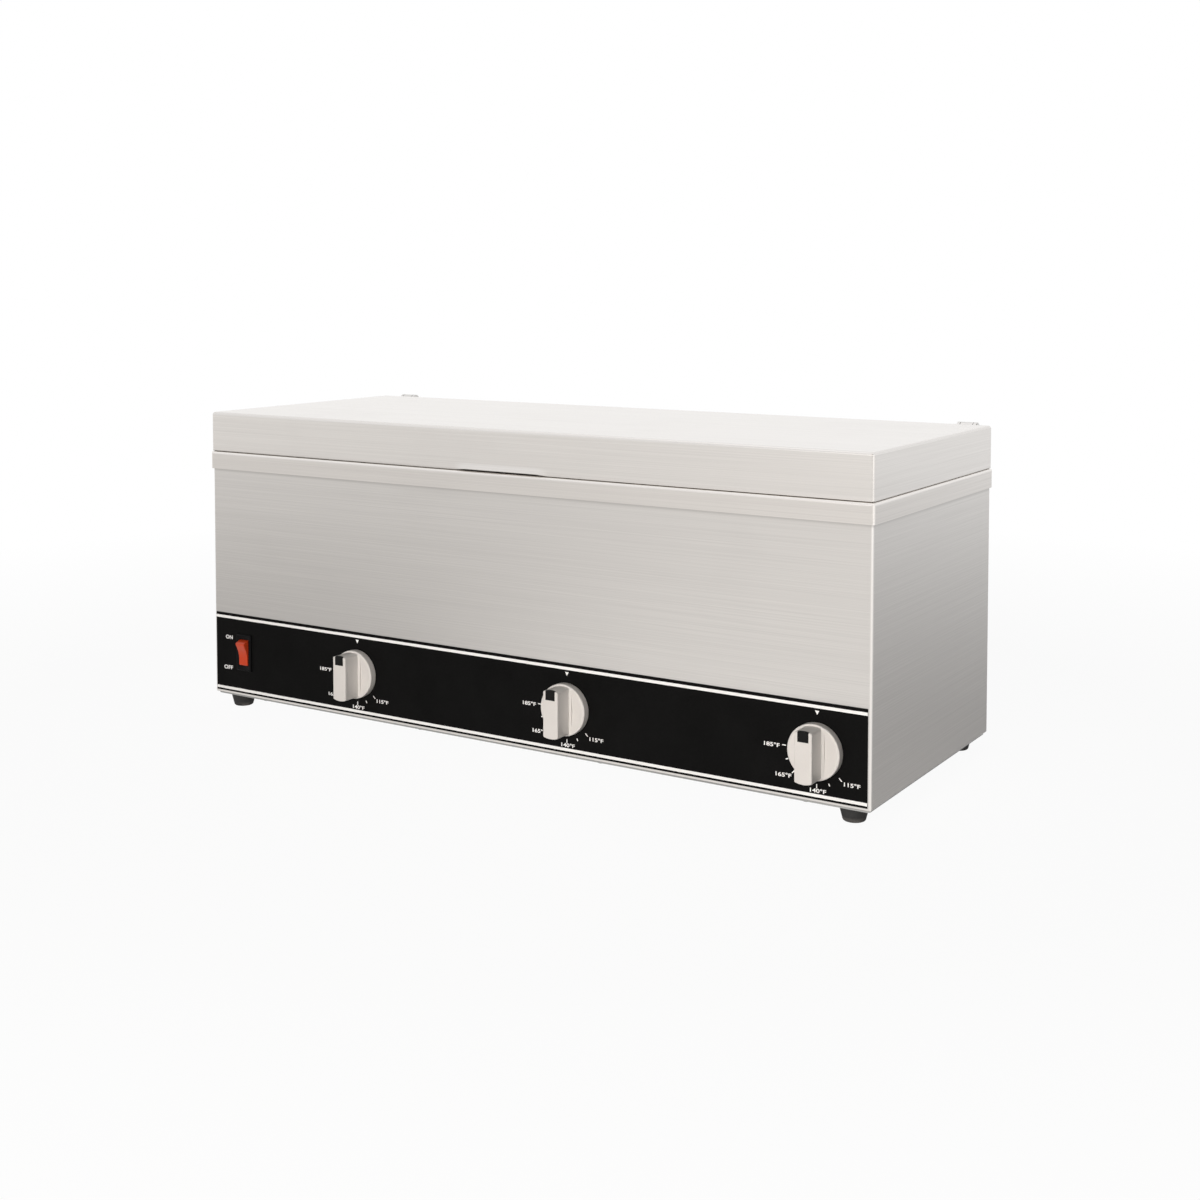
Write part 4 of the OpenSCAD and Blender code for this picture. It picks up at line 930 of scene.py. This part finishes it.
# Lid: one flat-topped box folded from brushed sheet, its lower edge turned in to a hem all round.
# A shallow finger pull is pressed out of the middle of the front edge. The lid hangs on the two
# hinges at the back and rests on silicone pads.
# The lid's colour is set lighter than the wrap's, though it is the same sheet: painted light.
lid_steel = brushed_steel("lid_steel", (0.703, 0.679, 0.655), (0.783, 0.757, 0.731), 0.32)
LID_STEP = 0.66 * MM
LID_DROP = 0.75 * MM
LID_SHEET = 1.0 * MM
LID_BEND = 2.5 * MM
LID_FOLD = 0.7 * MM
LID_HEM = 11.0 * MM
PULL_W = 88.0 * MM
PULL_END = 12.0 * MM
PULL_H = 6.0 * MM
PULL_REACH = 1.2 * MM
PULL_RISE = 0.9 * MM
PULL_STEPS = 32
PULL_ROWS = 5
deck_low, deck_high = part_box("top_deck")
shell_low, shell_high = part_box("lid_shell")
lid_low = Vector((shell_low.x, deck_low.y + LID_STEP, shell_low.z - LID_DROP))
lid_high = Vector((shell_high.x, deck_high.y - LID_STEP, shell_high.z))
lid = bmesh.new()
lid_box = Matrix.Translation((lid_low + lid_high) / 2) @ Matrix.Diagonal((*(lid_high - lid_low), 1.0))
bmesh.ops.create_cube(lid, size=1.0, matrix=lid_box)
folds = [edge for edge in lid.edges if max(vert.co.z for vert in edge.verts) > lid_low.z + LID_BEND]
round_edges(lid, folds, LID_BEND, 6)
round_edges(lid, at_height(lid, lid_low.z)[0].edges[:], LID_FOLD, 4)
for corner, turn in ((lid_low, -1.0), (lid_high, 1.0)):
    for axis in (Vector((turn, 0.0, 0.0)), Vector((0.0, turn, 0.0))):
        cut(lid, at_height(lid, lid_low.z), corner - axis * LID_HEM, axis)
mouth = max(at_height(lid, lid_low.z), key=lambda face: face.calc_area())
bmesh.ops.delete(lid, geom=[mouth], context="FACES_ONLY")
pull_top = lid_low.z + LID_FOLD + PULL_H
for step in range(PULL_ROWS):
    wall = [face for face in lid.faces if face.calc_center_median().y < lid_low.y + TINY]
    cut(lid, wall, (0.0, 0.0, pull_top - PULL_H * step / PULL_ROWS), (0.0, 0.0, 1.0))
for step in range(PULL_STEPS + 1):
    strip = []
    for face in lid.faces:
        middle = face.calc_center_median()
        if middle.y < lid_low.y + LID_HEM and middle.z < pull_top:
            strip.append(face)
    cut(lid, strip, (PULL_W * (step / PULL_STEPS - 0.5), 0.0, 0.0), (1.0, 0.0, 0.0))
for vert in lid.verts:
    along = (PULL_W / 2 - abs(vert.co.x)) / PULL_END
    up = (pull_top - vert.co.z) / (pull_top - lid_low.z)
    if vert.co.y < lid_low.y + 1.1 * LID_FOLD and along > 0.0 and up > 0.0:
        along = min(along, 1.0)
        share = along * along * (3.0 - 2.0 * along)
        vert.co.y -= PULL_REACH * share * up * up
        vert.co.z += PULL_RISE * share * up
bmesh.ops.recalc_face_normals(lid, faces=lid.faces[:])
bmesh.ops.solidify(lid, geom=lid.faces[:], thickness=LID_SHEET)
bmesh.ops.recalc_face_normals(lid, faces=lid.faces[:])
finish_piece(lid, "folded_lid", lid_steel, "lid", "lid_steel", "lid_shell")


# Lid bumpers: four small domed pads moulded in grey silicone.
# They are stuck inside the lid's rim, and land on the deck when the lid is shut.
bumper_silicone = moulded("bumper_silicone", (0.3, 0.3, 0.3), (0.38, 0.38, 0.38), 0.6)
BUMPER_R = 4.0 * MM
BUMPER_DOME = 0.8 * MM
low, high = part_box("lid_bumpers")
pad_h = high.z - low.z
bumpers = bmesh.new()
for side in (low.x + BUMPER_R, high.x - BUMPER_R):
    for end in (low.y + BUMPER_R, high.y - BUMPER_R):
        pad = lathe((
            (0.0, 0.0), (0.7 * BUMPER_R, 0.0, BUMPER_DOME), (BUMPER_R, 0.6 * pad_h), (BUMPER_R, pad_h),
            (0.0, pad_h),
        ), 32)
        put(bumpers, pad, Matrix.Translation((side, end, low.z)))
finish_piece(bumpers, "silicone_pads", bumper_silicone, "lid", "bumper_silicone", "lid_bumpers")


# Floor: a plain pale floor that shows white to the camera and keeps the object's shadow.
# Rays from the metal see it glow in painted zones: white to the right, dimmer to the left, warm in front,
# with a pale strip close along the front; these are painted reflections of a lit floor.
FLOOR = 6.0
PAINTED_WARM_GLOW = (1.0, 0.98, 0.955)
WHITE = (1.0, 1.0, 1.0)
FRONT_Y = -0.11
scene = bpy.context.scene
scene.view_settings.view_transform = "Standard"
plane = bmesh.new()
bmesh.ops.create_grid(plane, x_segments=1, y_segments=1, size=FLOOR)
floor_mesh = bpy.data.meshes.new("floor")
plane.to_mesh(floor_mesh)
plane.free()
floor = bpy.data.objects.new("floor", floor_mesh)
scene.collection.objects.link(floor)
floor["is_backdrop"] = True


def seen_in_metal(tree, path):
    """1 on rays that metal or glass sends on."""
    return math_node(tree, "MAXIMUM", path.outputs["Is Glossy Ray"], path.outputs["Is Transmission Ray"])


floor_pale, tree, shader = new_material("floor_pale", Roughness=0.9)
path = tree.nodes.new("ShaderNodeLightPath")
coord = tree.nodes.new("ShaderNodeTexCoord")
away = tree.nodes.new("ShaderNodeVectorMath")
away.operation = "LENGTH"
tree.links.new(coord.outputs["Object"], away.inputs[0])
spot = tree.nodes.new("ShaderNodeSeparateXYZ")
tree.links.new(coord.outputs["Object"], spot.inputs[0])
by_camera = path.outputs["Is Camera Ray"]
by_metal = seen_in_metal(tree, path)
ahead = math_node(tree, "SUBTRACT", spot.outputs["Y"], FRONT_Y)
in_front = math_node(tree, "LESS_THAN", ahead, 0.0)
bearing = math_node(tree, "DIVIDE", spot.outputs["X"], math_node(tree, "MULTIPLY", spot.outputs["Y"], -1.0))
strip = spread(tree, ahead, -0.14, -0.02, 0.0, 0.9)
sweep = spread(tree, bearing, -0.9, -0.1, 0.46, 1.0)
right = spread(tree, spot.outputs["X"], 0.3, 0.5, 0.0, 1.0)
painted_glow = math_node(tree, "MAXIMUM", strip, math_node(tree, "MAXIMUM", sweep, right))
painted_glow = math_node(tree, "MULTIPLY", painted_glow, in_front)
painted_glow = math_node(tree, "MAXIMUM", painted_glow, spread(tree, away.outputs["Value"], 0.4, 2.0, 0.3, 1.0))
shown = math_node(tree, "MULTIPLY", by_camera, spread(tree, away.outputs["Value"], 0.5, 1.2, 0.94, 1.0))
shown = math_node(tree, "ADD", shown, math_node(tree, "MULTIPLY", by_metal, painted_glow))
painted_warmth = math_node(tree, "MULTIPLY", by_metal, in_front)
white = tree.nodes.new("ShaderNodeEmission")
tree.links.new(ramp(tree, painted_warmth, WHITE, PAINTED_WARM_GLOW), white.inputs["Color"])
tree.links.new(spread(tree, by_camera, 0, 1, 0.5, 0.96), shader.inputs["Base Color"])
both = tree.nodes.new("ShaderNodeMixShader")
tree.links.new(shown, both.inputs["Fac"])
tree.links.new(shader.outputs["BSDF"], both.inputs[1])
tree.links.new(white.outputs["Emission"], both.inputs[2])
tree.links.new(both.outputs["Shader"], tree.nodes["Material Output"].inputs["Surface"])
floor_mesh.materials.append(floor_pale)


# Room: a white studio all round, which the camera and the metal see as white.
# Its own light is dim, least from the right and from above, so that the lamps shape the object, and
# the place of the key lamp is dark, because the lamp itself is what the metal sees there.
room = bpy.data.worlds.new("room")
room.use_nodes = True
scene.world = room
tree = room.node_tree
path = tree.nodes.new("ShaderNodeLightPath")
coord = tree.nodes.new("ShaderNodeTexCoord")


def facing(direction, least, most, at_least, at_most):
    """A level that changes with how far a ray points along a direction."""
    node = tree.nodes.new("ShaderNodeVectorMath")
    node.operation = "DOT_PRODUCT"
    tree.links.new(coord.outputs["Generated"], node.inputs[0])
    node.inputs[1].default_value = Vector(direction).normalized()
    return spread(tree, node.outputs["Value"], least, most, at_least, at_most)


ambient = facing((1.0, 0.1, 0.0), -0.3, 0.9, 0.5, 0.06)
ambient = math_node(tree, "MULTIPLY", ambient, facing((0.0, 0.0, 1.0), 0.0, 0.6, 1.0, 0.12))
reflected = facing((0.82, 0.5, -0.15), 0.1, 0.95, 1.0, 0.97)
reflected = math_node(tree, "MULTIPLY", reflected, facing((0.23, -0.88, 0.4), 0.75, 0.95, 1.0, 0.1))
level = spread(tree, seen_in_metal(tree, path), 0, 1, ambient, reflected)
level = math_node(tree, "MAXIMUM", level, path.outputs["Is Camera Ray"])
tree.links.new(level, tree.nodes["Background"].inputs["Strength"])
tree.nodes["Background"].inputs["Color"].default_value = (*WHITE, 1.0)


# Lamps: large soft boxes, warm in front of the object and white over it, to its right and behind it.
# Some light only plain surfaces and some only show in the metal, as panels beside a product do.
WARM = (1.0, 0.955, 0.91)


def soft_lamp(name, place, target, size, power, colour, diffuse=True, gloss=True):
    """A rectangular soft lamp that faces a point; it may leave out diffuse surfaces or gloss."""
    lamp = bpy.data.lights.new(name, "AREA")
    lamp.shape = "RECTANGLE"
    lamp.size, lamp.size_y = size
    lamp.energy = power
    lamp.color = colour
    made = bpy.data.objects.new(name, lamp)
    scene.collection.objects.link(made)
    made.visible_diffuse = diffuse
    made.visible_glossy = gloss
    back = Vector(place) - Vector(target)
    made.matrix_world = Matrix.Translation(place) @ back.to_track_quat("Z", "Y").to_matrix().to_4x4()


soft_lamp("key_lamp", (0.45, -1.95, 0.95), (0.0, 0.0, 0.12), (2.2, 1.3), 10.5, WARM, diffuse=False)
soft_lamp("front_lamp", (0.5, -1.95, 0.4), (0.0, 0.0, 0.08), (1.2, 0.5), 34.0, WARM, gloss=False)
soft_lamp("top_lamp", (-0.2, 0.2, 2.2), (0.0, 0.0, 0.1), (2.0, 1.6), 2.0, WHITE)
soft_lamp("edge_panel", (1.9, -1.0, 0.5), (0.3, -0.1, 0.12), (1.4, 1.4), 3.5, WHITE, diffuse=False)
soft_lamp("back_panel", (-1.5, 2.5, 1.0), (0.0, 0.0, 0.25), (2.4, 1.4), 1.4, WHITE, diffuse=False)


# Camera: sees the front and the right side from a little above the lid, almost level.
# It looks down by a shift of the lens more than by a tilt, so that upright edges stay nearly parallel.
CAMERA_PLACE = (0.73012, -1.1242, 0.37085)
CAMERA_DOWN = math.radians(2.943)
CAMERA_TURN = math.radians(32.311)
camera = bpy.data.cameras.new("camera")
camera.lens = 49.470
camera.sensor_width = 36.0
camera.shift_y = -0.2
camera.clip_start = 0.05
shot = bpy.data.objects.new("camera", camera)
scene.collection.objects.link(shot)
shot.location = CAMERA_PLACE
shot.rotation_euler = (math.radians(90.0) - CAMERA_DOWN, 0.0, CAMERA_TURN)
scene.camera = shot


# Sizes: the box of the finished object, over all that is shown but the floor.
# The pointers stand a hair proud of the grip bars.
low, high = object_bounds()
